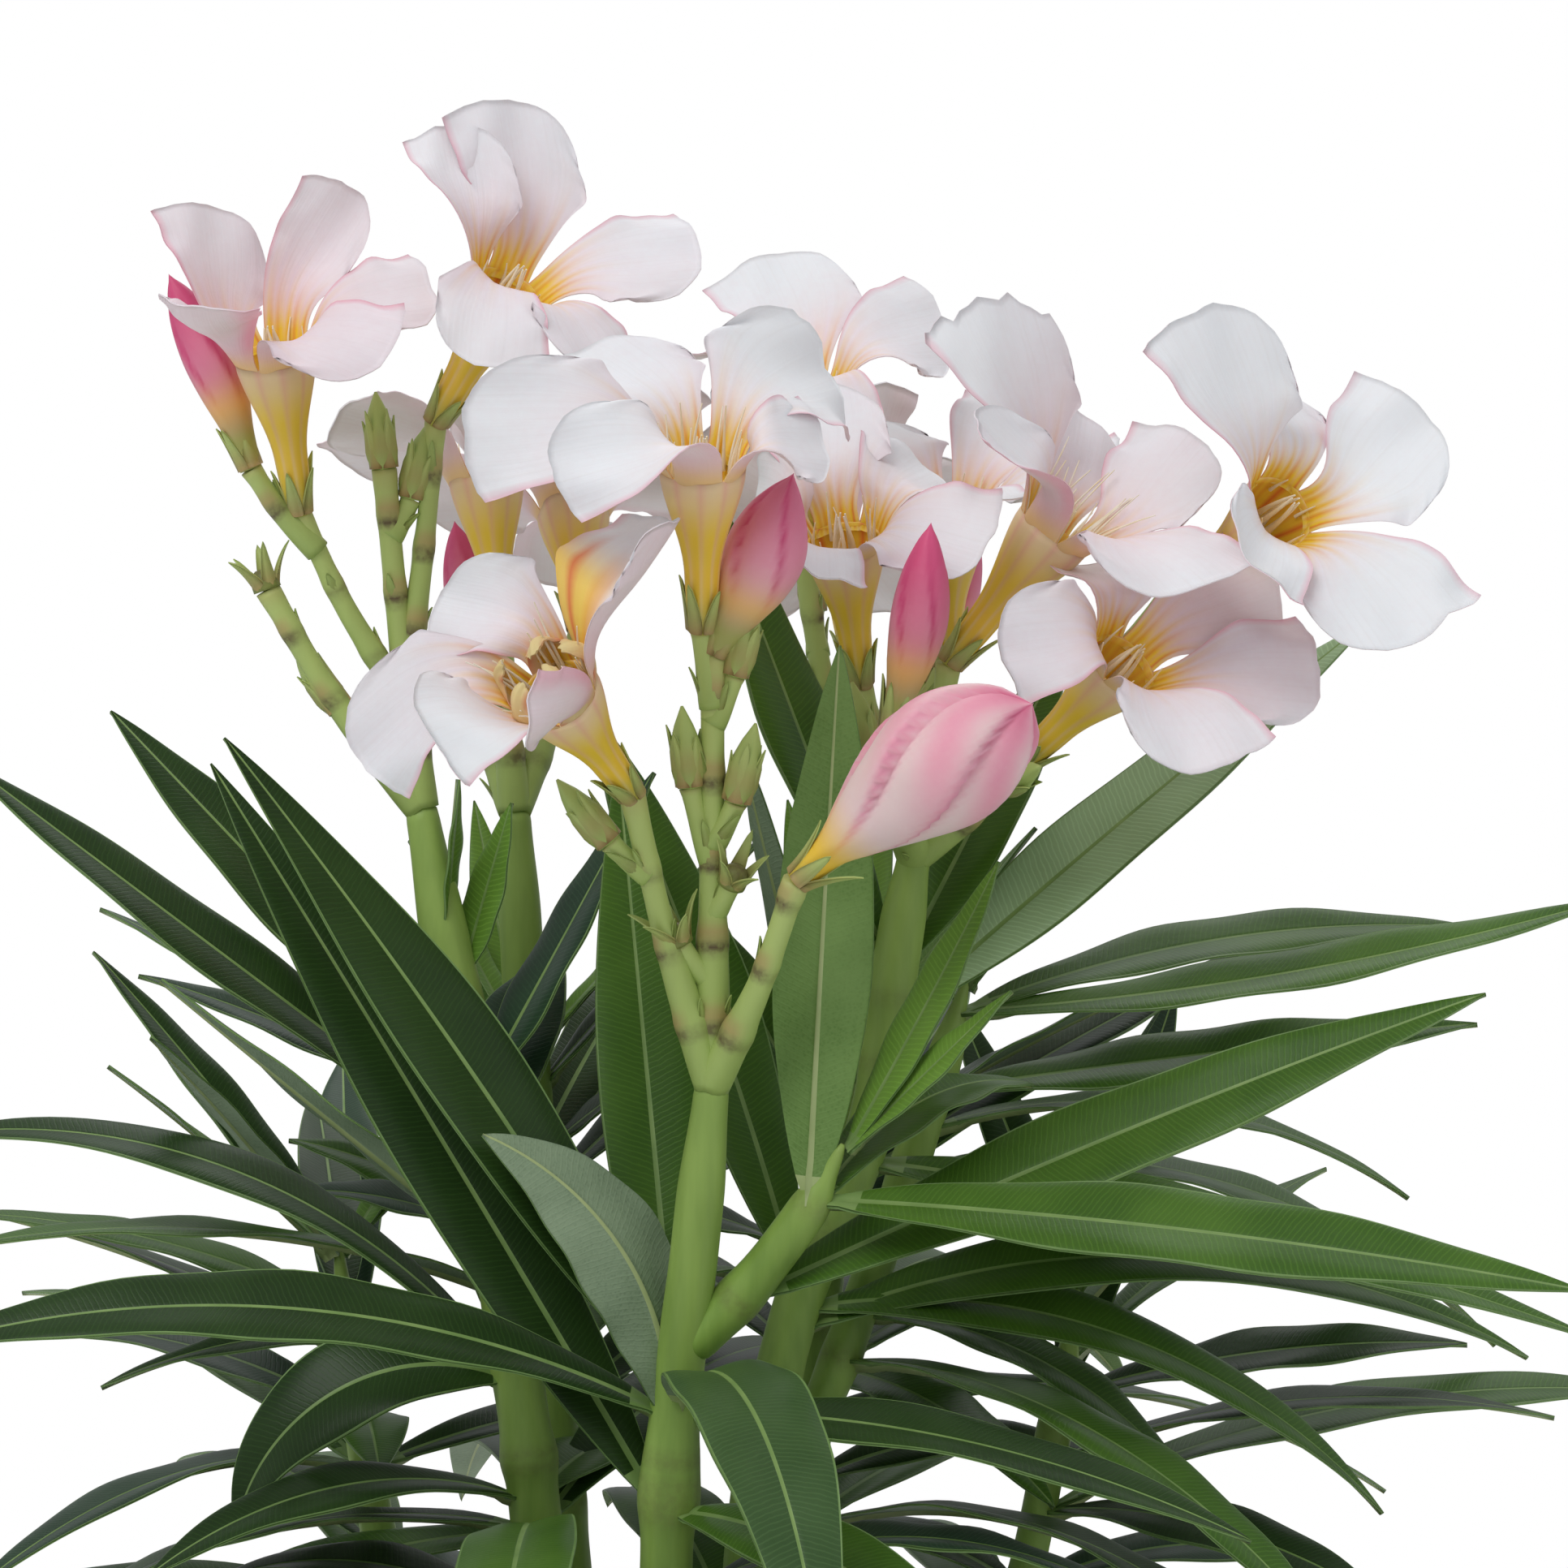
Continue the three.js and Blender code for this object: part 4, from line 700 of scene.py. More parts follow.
# ---------------------------------------------------------------- meshes
class Stock:
    """What one piece is made from: points, faces with their finish, and what the finishes read at each point.

    `place` is how far along and across its leaf or petal a point lies, and `tint` is up to four shares of
    colour that the finish gives a meaning to."""

    def __init__(self):
        self.points, self.place, self.tint = [], [], []
        self.faces = {3: [], 4: []}
        self.finish = {3: [], 4: []}
        self.count = 0

    def add(self, points, faces, finish, place=None, tint=None):
        """Adds groups of triangles or quads on new points, with a finish for each group or face."""
        points = np.asarray(points, float).reshape(-1, 3)
        self.points.append(points)
        self.place.append(np.zeros((len(points), 3)) if place is None else np.asarray(place).reshape(-1, 3))
        self.tint.append(np.zeros((len(points), 4)) if tint is None else np.asarray(tint).reshape(-1, 4))
        for group, slots in zip(faces, finish):
            group = np.asarray(group, int)
            if len(group):
                corners = group.shape[1]
                self.faces[corners].append(group + self.count)
                self.finish[corners].append(np.broadcast_to(slots, len(group)))
        self.count += len(points)

    def triangles(self):
        """How many triangles there are so far."""
        return sum(len(g) for g in self.faces[3]) + 2 * sum(len(g) for g in self.faces[4])

    def piece(self, name, finishes):
        """The object that all this makes."""
        mesh = bpy.data.meshes.new(name)
        sets = [(np.vstack(self.faces[n]), np.concatenate(self.finish[n])) for n in (3, 4) if self.faces[n]]
        corners = np.concatenate([group.ravel() for group, _ in sets])
        sizes = np.concatenate([np.full(len(group), group.shape[1]) for group, _ in sets])
        mesh.vertices.add(self.count)
        mesh.vertices.foreach_set("co", (np.vstack(self.points) * MM).ravel())
        mesh.loops.add(len(corners))
        mesh.loops.foreach_set("vertex_index", corners)
        mesh.polygons.add(len(sizes))
        mesh.polygons.foreach_set("loop_start", np.concatenate([[0], np.cumsum(sizes)[:-1]]))
        mesh.polygons.foreach_set("material_index", np.concatenate([slots for _, slots in sets]))
        mesh.polygons.foreach_set("use_smooth", np.ones(len(sizes), bool))
        place = mesh.attributes.new("place", "FLOAT_VECTOR", "POINT")
        place.data.foreach_set("vector", np.vstack(self.place).ravel())
        tint = mesh.attributes.new("tint", "FLOAT_COLOR", "POINT")
        tint.data.foreach_set("color", np.clip(np.vstack(self.tint), 0, 1).ravel())
        for finish in finishes:
            mesh.materials.append(finish)
        mesh.update(calc_edges=True)
        mesh.validate()
        made = bpy.data.objects.new(name, mesh)
        bpy.context.scene.collection.objects.link(made)
        return made


def grid_faces(rows, columns, start=0, flip=False):
    """Quads over a grid of points, facing the side that its rows and columns turn to."""
    i, j = np.meshgrid(np.arange(rows - 1), np.arange(columns - 1), indexing="ij")
    a = (start + i * columns + j).ravel()
    quads = np.stack([a, a + 1, a + columns + 1, a + columns], axis=1)
    return quads[:, ::-1] if flip else quads


def shell_faces(rows, columns):
    """A thin closed sheet: an upper grid, a lower grid below it, and the rim between them."""
    top = grid_faces(rows, columns, flip=True)
    under = grid_faces(rows, columns, start=rows * columns)
    edge = np.concatenate([
        np.arange(columns),
        columns - 1 + columns * np.arange(1, rows),
        rows * columns - 2 - np.arange(columns - 1),
        columns * np.arange(rows - 2, 0, -1),
    ])
    after = np.roll(edge, -1)
    low = rows * columns
    rim = np.stack([edge, after, after + low, edge + low], axis=1)
    return top, under, rim[:, ::-1]


def add_shell(stock, top, under, slots, marks=None, tints=None):
    """A thin closed sheet between two grids of points. `slots` are its upper, lower and rim finish."""
    rows, columns = top.shape[:2]
    stock.add(
        np.concatenate([top.reshape(-1, 3), under.reshape(-1, 3)]),
        shell_faces(rows, columns),
        slots,
        None if marks is None else np.concatenate([marks, marks]),
        None if tints is None else np.concatenate([tint.reshape(-1, 4) for tint in tints]),
    )


def tube_points(centres, radii, side=None):
    """Rings round a line of centres that don't twist. `radii` is a ring count by side count table."""
    directions = unit(np.gradient(centres, axis=0))
    side = square_to(directions[0])[0] if side is None else side
    rings = []
    for centre, direction, radius in zip(centres, directions, radii):
        side = unit(side - direction * np.dot(side, direction))
        other = np.cross(direction, side)
        rings.append(centre + radius[:, None] * spokes(len(radius), side, other))
    return np.array(rings)


def tube_faces(rows, count):
    """Quads round a tube, and a fan of triangles over each end. Their centres are the two points after the
    rings."""
    i, k = np.meshgrid(np.arange(rows - 1), np.arange(count), indexing="ij")
    a, b = (i * count + k).ravel(), (i * count + (k + 1) % count).ravel()
    walls = np.stack([a, b, b + count, a + count], axis=1)
    k = np.arange(count)
    after = (k + 1) % count
    last = (rows - 1) * count
    foot = np.stack([after, k, np.full(count, rows * count)], axis=1)
    tip = np.stack([last + k, last + after, np.full(count, rows * count + 1)], axis=1)
    return walls, np.vstack([foot, tip])


def add_rings(stock, rings, foot, tip, slot=0, place=None, tint=None):
    """A closed tube from its rings of points and the middles of its two ends."""
    if tint is not None:
        tint = tint.reshape(-1, 4)
        tint = np.vstack([tint, tint[:1], tint[-1:]])
    points = np.vstack([rings.reshape(-1, 3), foot, tip])
    stock.add(points, tube_faces(*rings.shape[:2]), (slot, slot), place, tint)


def add_tube(stock, centres, radii, tint=None, side=None):
    """One closed tube in its piece's first finish. The tint is given by ring, or by ring and side."""
    rows, count = radii.shape
    run = np.concatenate([[0], np.cumsum(np.linalg.norm(np.diff(centres, axis=0), axis=1))])
    place = np.zeros((rows * count + 2, 3))
    place[: rows * count, 0] = np.repeat(run, count)
    place[: rows * count, 1] = np.tile(np.arange(count) / count, rows)
    if tint is not None:
        tint = np.broadcast_to(tint.reshape(rows, -1, 4), (rows, count, 4))
    add_rings(stock, tube_points(centres, radii, side), centres[0], centres[-1], 0, place, tint)


# ---------------------------------------------------------------- finishes
# How far apart a leaf's side veins are, in millimetres, and how far forwards they run for each one outwards.
VEIN_PITCH, VEIN_SLANT = 0.95, 0.42


def new_finish(name, colour, roughness, **settings):
    """A material with its shader, and a helper that adds and wires nodes. `settings` are shader inputs."""
    made = bpy.data.materials.new(name)
    made.use_nodes = True
    tree = made.node_tree
    shader = tree.nodes["Principled BSDF"]
    shader.inputs["Base Color"].default_value = (*colour, 1)
    shader.inputs["Roughness"].default_value = roughness
    for socket in shader.inputs:
        key = socket.name.lower().replace(" ", "_")
        if key in settings:
            socket.default_value = settings[key]

    def node(kind, *links, **values):
        one = tree.nodes.new("ShaderNode" + kind)
        for key, value in values.items():
            if hasattr(one, key):
                setattr(one, key, value)
            else:
                one.inputs[key.replace("_", " ").title()].default_value = value
        for socket, source in links:
            tree.links.new(source, one.inputs[socket])
        return one

    return made, shader, node


def colour_mix(node, share, a, b):
    """Mixes two colours by a share, each a socket or plain values."""
    one = node("Mix", data_type="RGBA")
    for socket, value in ((0, share), (6, a), (7, b)):
        if isinstance(value, bpy.types.NodeSocket):
            one.id_data.links.new(value, one.inputs[socket])
        else:
            one.inputs[socket].default_value = value if socket == 0 else (*value, 1)
    return one.outputs[2]


def noise(node, scale, detail=3, stretch=(1, 1, 1), coordinates=None):
    """Noise from 0 to 1 over the object, with features about 1/scale metres wide."""
    if coordinates is None:
        coordinates = node("TexCoord").outputs["Object"]
    scaled = node("Mapping", ("Vector", coordinates))
    scaled.inputs["Scale"].default_value = stretch
    one = node("TexNoise", ("Vector", scaled.outputs[0]))
    one.inputs["Scale"].default_value = scale
    one.inputs["Detail"].default_value = detail
    return one.outputs[0]


def ramp(node, source, low, high):
    """A socket stretched so that low gives 0 and high gives 1."""
    one = node("MapRange", ("Value", source))
    one.inputs["From Min"].default_value = low
    one.inputs["From Max"].default_value = high
    return one.outputs[0]


def stretched(node, source, low, high):
    """A socket stretched so that 0 gives low and 1 gives high."""
    one = node("MapRange", ("Value", source))
    one.inputs["To Min"].default_value = low
    one.inputs["To Max"].default_value = high
    return one.outputs[0]


def calc(node, operation, a, b=0.5):
    """One step of arithmetic on sockets or plain numbers."""
    one = node("Math", operation=operation)
    for socket, value in enumerate((a, b)):
        if isinstance(value, bpy.types.NodeSocket):
            one.id_data.links.new(value, one.inputs[socket])
        else:
            one.inputs[socket].default_value = value
    return one.outputs[0]


def bump(node, shader, height, strength, distance):
    """Relief from a height socket. The distance is in millimetres."""
    one = node("Bump", ("Height", height))
    one.inputs["Strength"].default_value = strength
    one.inputs["Distance"].default_value = distance * MM
    one.id_data.links.new(one.outputs[0], shader.inputs["Normal"])


def connect(shader, socket, source):
    """Wires a socket into a shader's input."""
    shader.id_data.links.new(source, shader.inputs[socket])


def place_on(node):
    """How far along and across its leaf or petal a point lies, as one vector socket."""
    return node("Attribute", attribute_name="place").outputs["Vector"]


def tint_shares(node):
    """The tint's four shares, as sockets."""
    tint = node("Attribute", attribute_name="tint")
    parts = node("SeparateColor", ("Color", tint.outputs["Color"]))
    return [*parts.outputs[:3], tint.outputs["Alpha"]]


def vein_lines(node):
    """Fine side veins, from 0 between them to 1 on them, slanting forwards from the midrib."""
    place = place_on(node)
    parts = node("SeparateXYZ", ("Vector", place))
    forward = calc(node, "MULTIPLY", calc(node, "ABSOLUTE", parts.outputs[1]), -VEIN_SLANT)
    wander = calc(node, "MULTIPLY", noise(node, 0.35, 2, coordinates=place), 0.9)
    at = calc(node, "ADD", calc(node, "ADD", parts.outputs[0], forward), wander)
    share = calc(node, "FRACT", calc(node, "DIVIDE", at, VEIN_PITCH))
    middle = calc(node, "ABSOLUTE", calc(node, "SUBTRACT", share, 0.5))
    return ramp(node, middle, 0.3, 0.5)


def leaf_finish(name, deep, light):
    """A leaf's upper face: patches of two greens, pale veins and a fine grain."""
    made, shader, node = new_finish(name, deep, 0.38, specular_ior_level=0.22)
    patches = ramp(node, noise(node, 55, 3), 0.35, 0.7)
    grain = ramp(node, noise(node, 900, 2), 0.3, 0.7)
    veins = vein_lines(node)
    body = colour_mix(node, calc(node, "MULTIPLY", patches, 0.75), deep, light)
    body = colour_mix(node, calc(node, "MULTIPLY", veins, 0.3), body, tuple(1.6 * c for c in light))
    connect(shader, "Base Color", colour_mix(node, calc(node, "MULTIPLY", grain, 0.1), body, light))
    height = calc(node, "ADD", calc(node, "MULTIPLY", veins, -0.6), calc(node, "MULTIPLY", grain, 0.5))
    bump(node, shader, height, 0.25, 0.12)
    return made


def underside_finish(name, deep, light):
    """A leaf's underside: paler and duller, with pores between the veins."""
    made, shader, node = new_finish(name, deep, 0.62, specular_ior_level=0.3)
    pores = node("TexVoronoi", ("Vector", place_on(node)))
    pores.inputs["Scale"].default_value = 1.7
    dots = ramp(node, pores.outputs["Distance"], 0.1, 0.55)
    veins = vein_lines(node)
    body = colour_mix(node, ramp(node, noise(node, 60, 3), 0.3, 0.7), deep, light)
    body = colour_mix(node, calc(node, "MULTIPLY", dots, 0.35), body, light)
    connect(shader, "Base Color", colour_mix(node, calc(node, "MULTIPLY", veins, 0.2), body, light))
    bump(node, shader, calc(node, "ADD", dots, veins), 0.3, 0.12)
    return made


def plain_green(name, deep, light):
    """Midribs and rims: a green that drifts between two close tones."""
    made, shader, node = new_finish(name, deep, 0.5)
    share = ramp(node, noise(node, 160, 3), 0.3, 0.7)
    connect(shader, "Base Color", colour_mix(node, share, deep, light))
    bump(node, shader, noise(node, 1200, 2), 0.15, 0.1)
    return made


def petal_finish(name, body, shade):
    """Petals, tubes and buds. The tint's shares are blush, gold, red and lime."""
    made, shader, node = new_finish(name, body, 0.55, subsurface_weight=0.2, subsurface_scale=0.003)
    shader.inputs["Subsurface Radius"].default_value = (1, 0.8, 0.7)
    blush, gold, red, lime = tint_shares(node)
    soft = ramp(node, noise(node, 60, 3), 0.35, 0.8)
    fine = noise(node, 700, 3)
    lines = noise(node, 1.0, 3, (1.2, 17, 1), place_on(node))
    ground = colour_mix(node, calc(node, "MULTIPLY", soft, 0.6), body, shade)
    ground = colour_mix(node, calc(node, "MULTIPLY", ramp(node, lines, 0.5, 0.75), 0.35), ground, shade)
    mottle = calc(node, "MULTIPLY", calc(node, "SUBTRACT", fine, 0.5), 0.06)
    blush = calc(node, "ADD", blush, mottle)
    ground = colour_mix(node, ramp(node, blush, 0.0, 0.5), ground, (0.82, 0.34, 0.44))
    ground = colour_mix(node, ramp(node, blush, 0.5, 1.0), ground, (0.66, 0.08, 0.21))
    ground = colour_mix(node, gold, ground, (0.90, 0.58, 0.02))
    ground = colour_mix(node, red, ground, (0.74, 0.12, 0.03))
    ground = colour_mix(node, lime, ground, (0.34, 0.40, 0.07))
    connect(shader, "Base Color", ground)
    bump(node, shader, calc(node, "ADD", fine, calc(node, "MULTIPLY", lines, 1.5)), 0.2, 0.2)
    return made


def thread_finish():
    """The fringe's threads: cream that drifts to straw."""
    made, shader, node = new_finish("fringe_threads", (0.90, 0.84, 0.66), 0.5)
    share = ramp(node, noise(node, 300, 2), 0.35, 0.7)
    connect(shader, "Base Color", colour_mix(node, share, (0.92, 0.88, 0.76), (0.88, 0.76, 0.48)))
    return made


def rind_finish(name, low, high):
    """Green shoots and stalks. The tint's shares are brown scars, paler new growth and reddening."""
    made, shader, node = new_finish(name, low, 0.48, specular_ior_level=0.4)
    scarred, growth, reddened, _ = tint_shares(node)
    streaks = ramp(node, noise(node, 260, 3, (1, 1, 0.16)), 0.3, 0.72)
    body = colour_mix(node, streaks, low, high)
    body = colour_mix(node, calc(node, "MULTIPLY", growth, 0.7), body, (0.62, 0.72, 0.25))
    body = colour_mix(node, reddened, body, (0.44, 0.16, 0.10))
    speckle = ramp(node, noise(node, 900, 2), 0.35, 0.6)
    scars = calc(node, "MULTIPLY", scarred, stretched(node, speckle, 0.55, 1.0))
    connect(shader, "Base Color", colour_mix(node, scars, body, (0.115, 0.075, 0.035)))
    bump(node, shader, noise(node, 800, 3, (1, 1, 0.3)), 0.25, 0.2)
    return made


def bark_finish():
    """Grey-brown young bark. The tint's first share darkens its scars, and its second turns it green towards
    the shoots."""
    made, shader, node = new_finish("bark", (0.16, 0.125, 0.085), 0.8, specular_ior_level=0.25)
    scarred, greened, _, _ = tint_shares(node)
    long_grain = ramp(node, noise(node, 240, 4, (1, 1, 0.22)), 0.3, 0.72)
    patches = ramp(node, noise(node, 70, 3), 0.35, 0.65)
    body = colour_mix(node, long_grain, (0.105, 0.08, 0.052), (0.25, 0.205, 0.145))
    body = colour_mix(node, calc(node, "MULTIPLY", patches, 0.5), body, (0.19, 0.185, 0.13))
    green = colour_mix(node, long_grain, (0.12, 0.17, 0.055), (0.20, 0.25, 0.09))
    body = colour_mix(node, greened, body, green)
    connect(shader, "Base Color", colour_mix(node, scarred, body, (0.10, 0.07, 0.045)))
    bump(node, shader, calc(node, "ADD", long_grain, noise(node, 900, 3)), 0.5, 0.35)
    return made


def clay_finish():
    """Fired clay with cloudy tones, a pale bloom, dark specks and throwing rings."""
    made, shader, node = new_finish("terracotta", (0.47, 0.19, 0.10), 0.85, specular_ior_level=0.2)
    clouds = ramp(node, noise(node, 16, 4), 0.3, 0.7)
    body = colour_mix(node, clouds, (0.42, 0.155, 0.078), (0.53, 0.235, 0.13))
    bloom = ramp(node, noise(node, 22, 6, (1, 1, 0.55)), 0.56, 0.78)
    body = colour_mix(node, calc(node, "MULTIPLY", bloom, 0.45), body, (0.66, 0.50, 0.40))
    specks = calc(node, "MULTIPLY", ramp(node, noise(node, 1100, 2), 0.62, 0.75), 0.5)
    connect(shader, "Base Color", colour_mix(node, specks, body, (0.25, 0.10, 0.06)))
    throwing = noise(node, 14, 2, (0.02, 0.02, 12))
    height = calc(node, "ADD", calc(node, "MULTIPLY", throwing, 1.4), noise(node, 650, 4))
    bump(node, shader, height, 0.45, 0.45)
    return made


def soil_finish(name, dark, pale):
    """Soil, crumbs, chips, grit or pores: rough and dull, between two tones."""
    made, shader, node = new_finish(name, dark, 0.95, specular_ior_level=0.15)
    share = ramp(node, noise(node, 420, 4), 0.35, 0.7)
    connect(shader, "Base Color", colour_mix(node, share, dark, pale))
    bump(node, shader, noise(node, 1300, 4), 0.6, 0.5)
    return made


# ---------------------------------------------------------------- leaves
LEAF_ROWS = 38
# Where the columns of points lie from a blade's edge, at 1, to its midrib's, at 0.
COLUMN_SHARES = np.array([1, 0.955, 0.76, 0.52, 0.3, 0.1, 0])
FRESH_SHOOTS = ["front_side_shoot", "right_shoot", "right_side_shoot"]
# A piece of leaves with more triangles than this is full, and another is begun.
PIECE_LIMIT = 185000
# The finishes that leaves wear, by number.
# PAINTED_BACKLIGHT is a painted backlight: a pale green that makes one shaded leaf look lit from behind.
DEEP, MID, FRESH, BLUE, RIB_ABOVE, RIB_BELOW, RIM, UNDER_OLD, UNDER_YOUNG, PAINTED_BACKLIGHT, SOFT = range(11)


def leaf_tone(leaf):
    """Young leaves are fresh green, and old ones deep or bluish, dealt out by leaf."""
    draw = dice(leaf["seed"] + 5)
    if "tone" in leaf:
        # The pale finish is painted backlight and sheen on a leaf that lies in shade.
        return {"leaf_pale": PAINTED_BACKLIGHT, "leaf_soft": SOFT}[leaf["tone"]]
    if leaf["width"] < 10:
        return FRESH
    if leaf["shoot"] in FRESH_SHOOTS:
        return MID
    return (DEEP, DEEP, BLUE, MID)[int(4 * draw())]


def leaf_slots(leaf):
    """The finish of each quad of a leaf's upper face, its underside and its rim."""
    middle = len(COLUMN_SHARES)
    column = np.tile(np.arange(2 * middle), LEAF_ROWS)
    row = np.repeat(np.arange(LEAF_ROWS), 2 * middle)
    ribbed = (column == middle - 1) | (column == middle) | (row < 2)
    edge = (column == 0) | (column == 2 * middle - 1)
    under = UNDER_YOUNG if leaf["shoot"] in FRESH_SHOOTS else UNDER_OLD
    return (
        np.where(ribbed, RIB_ABOVE, np.where(edge, RIM, leaf_tone(leaf))),
        np.where(ribbed, RIB_BELOW, under),
        RIM,
    )


def add_leaf(stock, leaf):
    """A blade with a sunk midrib above, a raised one below, a thin pale rim and a gently waved edge."""
    s, place, across, normal = spine(leaf, LEAF_ROWS)
    draw = dice(leaf["seed"])
    width = leaf["width"]
    middle = len(COLUMN_SHARES)
    sturdy = (width / LEAF["width"]) ** 0.5
    stalk = 1.5 * sturdy
    blade = width * 0.5 * np.maximum(np.sin(np.pi * s**0.86), 0) ** 0.85
    half = np.maximum(np.maximum(blade, np.where(s < 0.3, stalk, 0)), 0.14)
    # Columns of points: from one edge to the midrib's, the midline, and out to the other edge.
    rib = np.minimum(mix(0.62, 0.16, s**0.7) * sturdy, 0.45 * half)
    side = np.repeat([-1, 0, 1], [middle, 1, middle])[None, :]
    reach = np.concatenate([COLUMN_SHARES, [0], COLUMN_SHARES[::-1]])[None, :]
    x = side * (rib[:, None] + (half - rib)[:, None] * reach)
    v = x / half[:, None]
    # The blade folds up from its midrib, waves more towards its edge, and twists.
    fold = math.radians(LEAF["fold"] * mix(1, 0.7, draw()))
    waves = mix(2, 4.5, draw())
    phase = 6.3 * draw()
    wave = 0.05 * half[:, None] * v**2 * np.sin(2 * np.pi * waves * s[:, None] + phase + 0.9 * np.sign(v))
    twist = 5 * math.pi / 180 * np.sin(np.pi * s * mix(0.8, 2, draw()) + phase)[:, None]
    lift = np.abs(x) * math.sin(fold) + wave + x * twist - 0.1 * half[:, None] * np.abs(v) ** 5
    thick = np.where(s < 0.06, 1.1, 0.62)[:, None] * (1 - 0.45 * np.abs(v) ** 3)
    # The midline is sunk above and stands out below.
    groove = np.zeros_like(v)
    groove[:, middle] = 1
    keel = groove * mix(1.15, 0.25, s**0.6)[:, None] * sturdy
    points = place[:, None] + across[:, None] * (x * math.cos(fold))[..., None]
    top = points + normal[:, None] * (lift - 0.08 * groove)[..., None]
    under = points + normal[:, None] * (lift - thick - keel)[..., None]
    along = np.broadcast_to((s * leaf["length"])[:, None], x.shape)
    marks = np.stack([along, x, np.full(x.shape, 3.0 * draw())], axis=-1)
    add_shell(stock, top, under, leaf_slots(leaf), marks)


def leaf_finishes():
    """The finishes that leaves wear, in the order of their numbers."""
    return [
        leaf_finish("leaf_deep", (0.013, 0.036, 0.006), (0.026, 0.064, 0.011)),
        leaf_finish("leaf_mid", (0.040, 0.105, 0.010), (0.078, 0.172, 0.020)),
        leaf_finish("leaf_fresh", (0.105, 0.220, 0.028), (0.165, 0.310, 0.046)),
        leaf_finish("leaf_blue", (0.014, 0.040, 0.018), (0.030, 0.068, 0.032)),
        plain_green("midrib_above", (0.15, 0.26, 0.065), (0.22, 0.34, 0.10)),
        plain_green("midrib_below", (0.33, 0.42, 0.16), (0.42, 0.50, 0.22)),
        plain_green("leaf_rim", (0.12, 0.22, 0.055), (0.17, 0.29, 0.085)),
        underside_finish("leaf_underside_old", (0.135, 0.200, 0.115), (0.280, 0.370, 0.235)),
        underside_finish("leaf_underside_young", (0.110, 0.210, 0.045), (0.200, 0.330, 0.095)),
        # A pale green painted in as backlight and sheen for a leaf in shade.
        leaf_finish("leaf_pale", (0.280, 0.410, 0.210), (0.370, 0.530, 0.300)),
        leaf_finish("leaf_soft", (0.036, 0.082, 0.023), (0.066, 0.128, 0.042)),
    ]


def make_leaves(grown):
    """All the leaves, in as many pieces as they need."""
    finishes = leaf_finishes()
    stocks = [Stock()]
    for leaf in grown:
        if stocks[-1].triangles() > PIECE_LIMIT:
            stocks.append(Stock())
        add_leaf(stocks[-1], leaf)
    return [stock.piece(f"leaves_{k + 1}", finishes) for k, stock in enumerate(stocks)]


# ---------------------------------------------------------------- limbs
def limb_path(limb):
    """A limb's line, started inside its parent."""
    stations = [np.array(p, float) for p in limb["path"]]
    if goes_on(limb):
        back = Path(LIMBS[limb["on"]]["path"]).along(1.0)
        stations.insert(0, stations[0] - 3 * back)
    return Path(stations)


def add_limb(stock, limb, index):
    """A limb with rings of leaf scars. A shoot that bears flowers narrows into their stalks, and others to a
    point."""
    path = limb_path(limb)
    length = path.length()
    flowering = any(head["on"] == limb["name"] for head in HEADS)
    beyond = 1 if flowering else 0
    rows = max(12, int(length / 1.3))
    run = np.linspace(0, length + beyond, rows + 1)
    t = np.minimum(run / length, 1)
    sides = dict(stem=32, bough=28, shoot=22)[limb["kind"]]
    radius = mix(*limb["radii"], t)
    scar = np.zeros(rows + 1)
    # A stem flares at the soil, and a side limb swells out of its parent from a narrow start.
    if limb["kind"] == "stem":
        radius = radius * (1 + 0.45 * np.exp(-12 * t))
    elif not goes_on(limb):
        radius = radius * (1 + (0.1 if limb["kind"] == "shoot" else 0.3) * np.exp(-run / 5))
        radius = radius * np.sqrt(1 - 0.8 * np.clip(1 - run / 4, 0, 1) ** 2)
    if flowering:
        radius = mix(radius, 2.7, smooth((run - length + 16) / 16))
    elif limb["kind"] == "shoot":
        radius = radius * mix(1, 0.34, smooth((run - length + 20) / 18))
    for at in limb_nodes(limb):
        scar = np.maximum(scar, np.exp(-(((run - at * length) / 1.5) ** 2)))
        radius = radius * (1 + 0.09 * np.exp(-(((run - at * length) / 3.2) ** 2)))
    # Fine and slow unevenness, and a stem's flutes near the soil.
    turn = turns_round(sides)
    relief = 0.016 if limb["kind"] == "shoot" else 0.035
    waves = ripple(0.5 * run[:, None], 5 * np.cos(turn)[None], 7 * index)
    slow = 0.12 * run[:, None] + 3 * np.sin(turn)[None]
    waves = waves + ripple(slow, 4 * np.cos(turn)[None], 7 * index + 1)
    table = radius[:, None] * (1 + relief * waves)
    if limb["kind"] == "stem":
        table = table * (1 + 0.05 * np.exp(-run / 14)[:, None] * np.sin(5 * turn + index)[None])
    # The tip is rounded off.
    taper = 5 if limb["kind"] == "shoot" and not flowering else 2
    tip = np.clip((length + beyond - run) / taper, 0, 1)
    table = table * np.sqrt(1 - (1 - tip[:, None]) ** 2 * 0.9)
    green = dict(stem=0.25 * t, bough=mix(0.3, 1.0, t), shoot=mix(0, 0.3, t))[limb["kind"]]
    worn = dict(stem=0.8, bough=0.7, shoot=mix(0.5, 0.15, t))[limb["kind"]]
    ring_shade = np.stack([worn * scar, green, 0 * t, 0 * t], axis=1)
    places = path.at(t) + path.along(1.0) * np.maximum(run - length, 0)[:, None]
    add_tube(stock, places, table, ring_shade)


def limb_nodes(limb):
    """Where rings of leaf scars lie, as shares of the limb's length."""
    if limb["kind"] == "shoot":
        whorls = limb.get("whorls", NO_WHORLS)
        steps = max(whorls["count"] - 1, 1)
        found = [mix(whorls["start"], whorls["end"], w / steps) for w in range(whorls["count"])]
        return sorted({round(t, 2) for t in found + [row[0] for row in limb.get("leaves", [])]})
    spacing = dict(stem=0.16, bough=0.3)[limb["kind"]]
    return list(np.arange(spacing, 0.98, spacing))


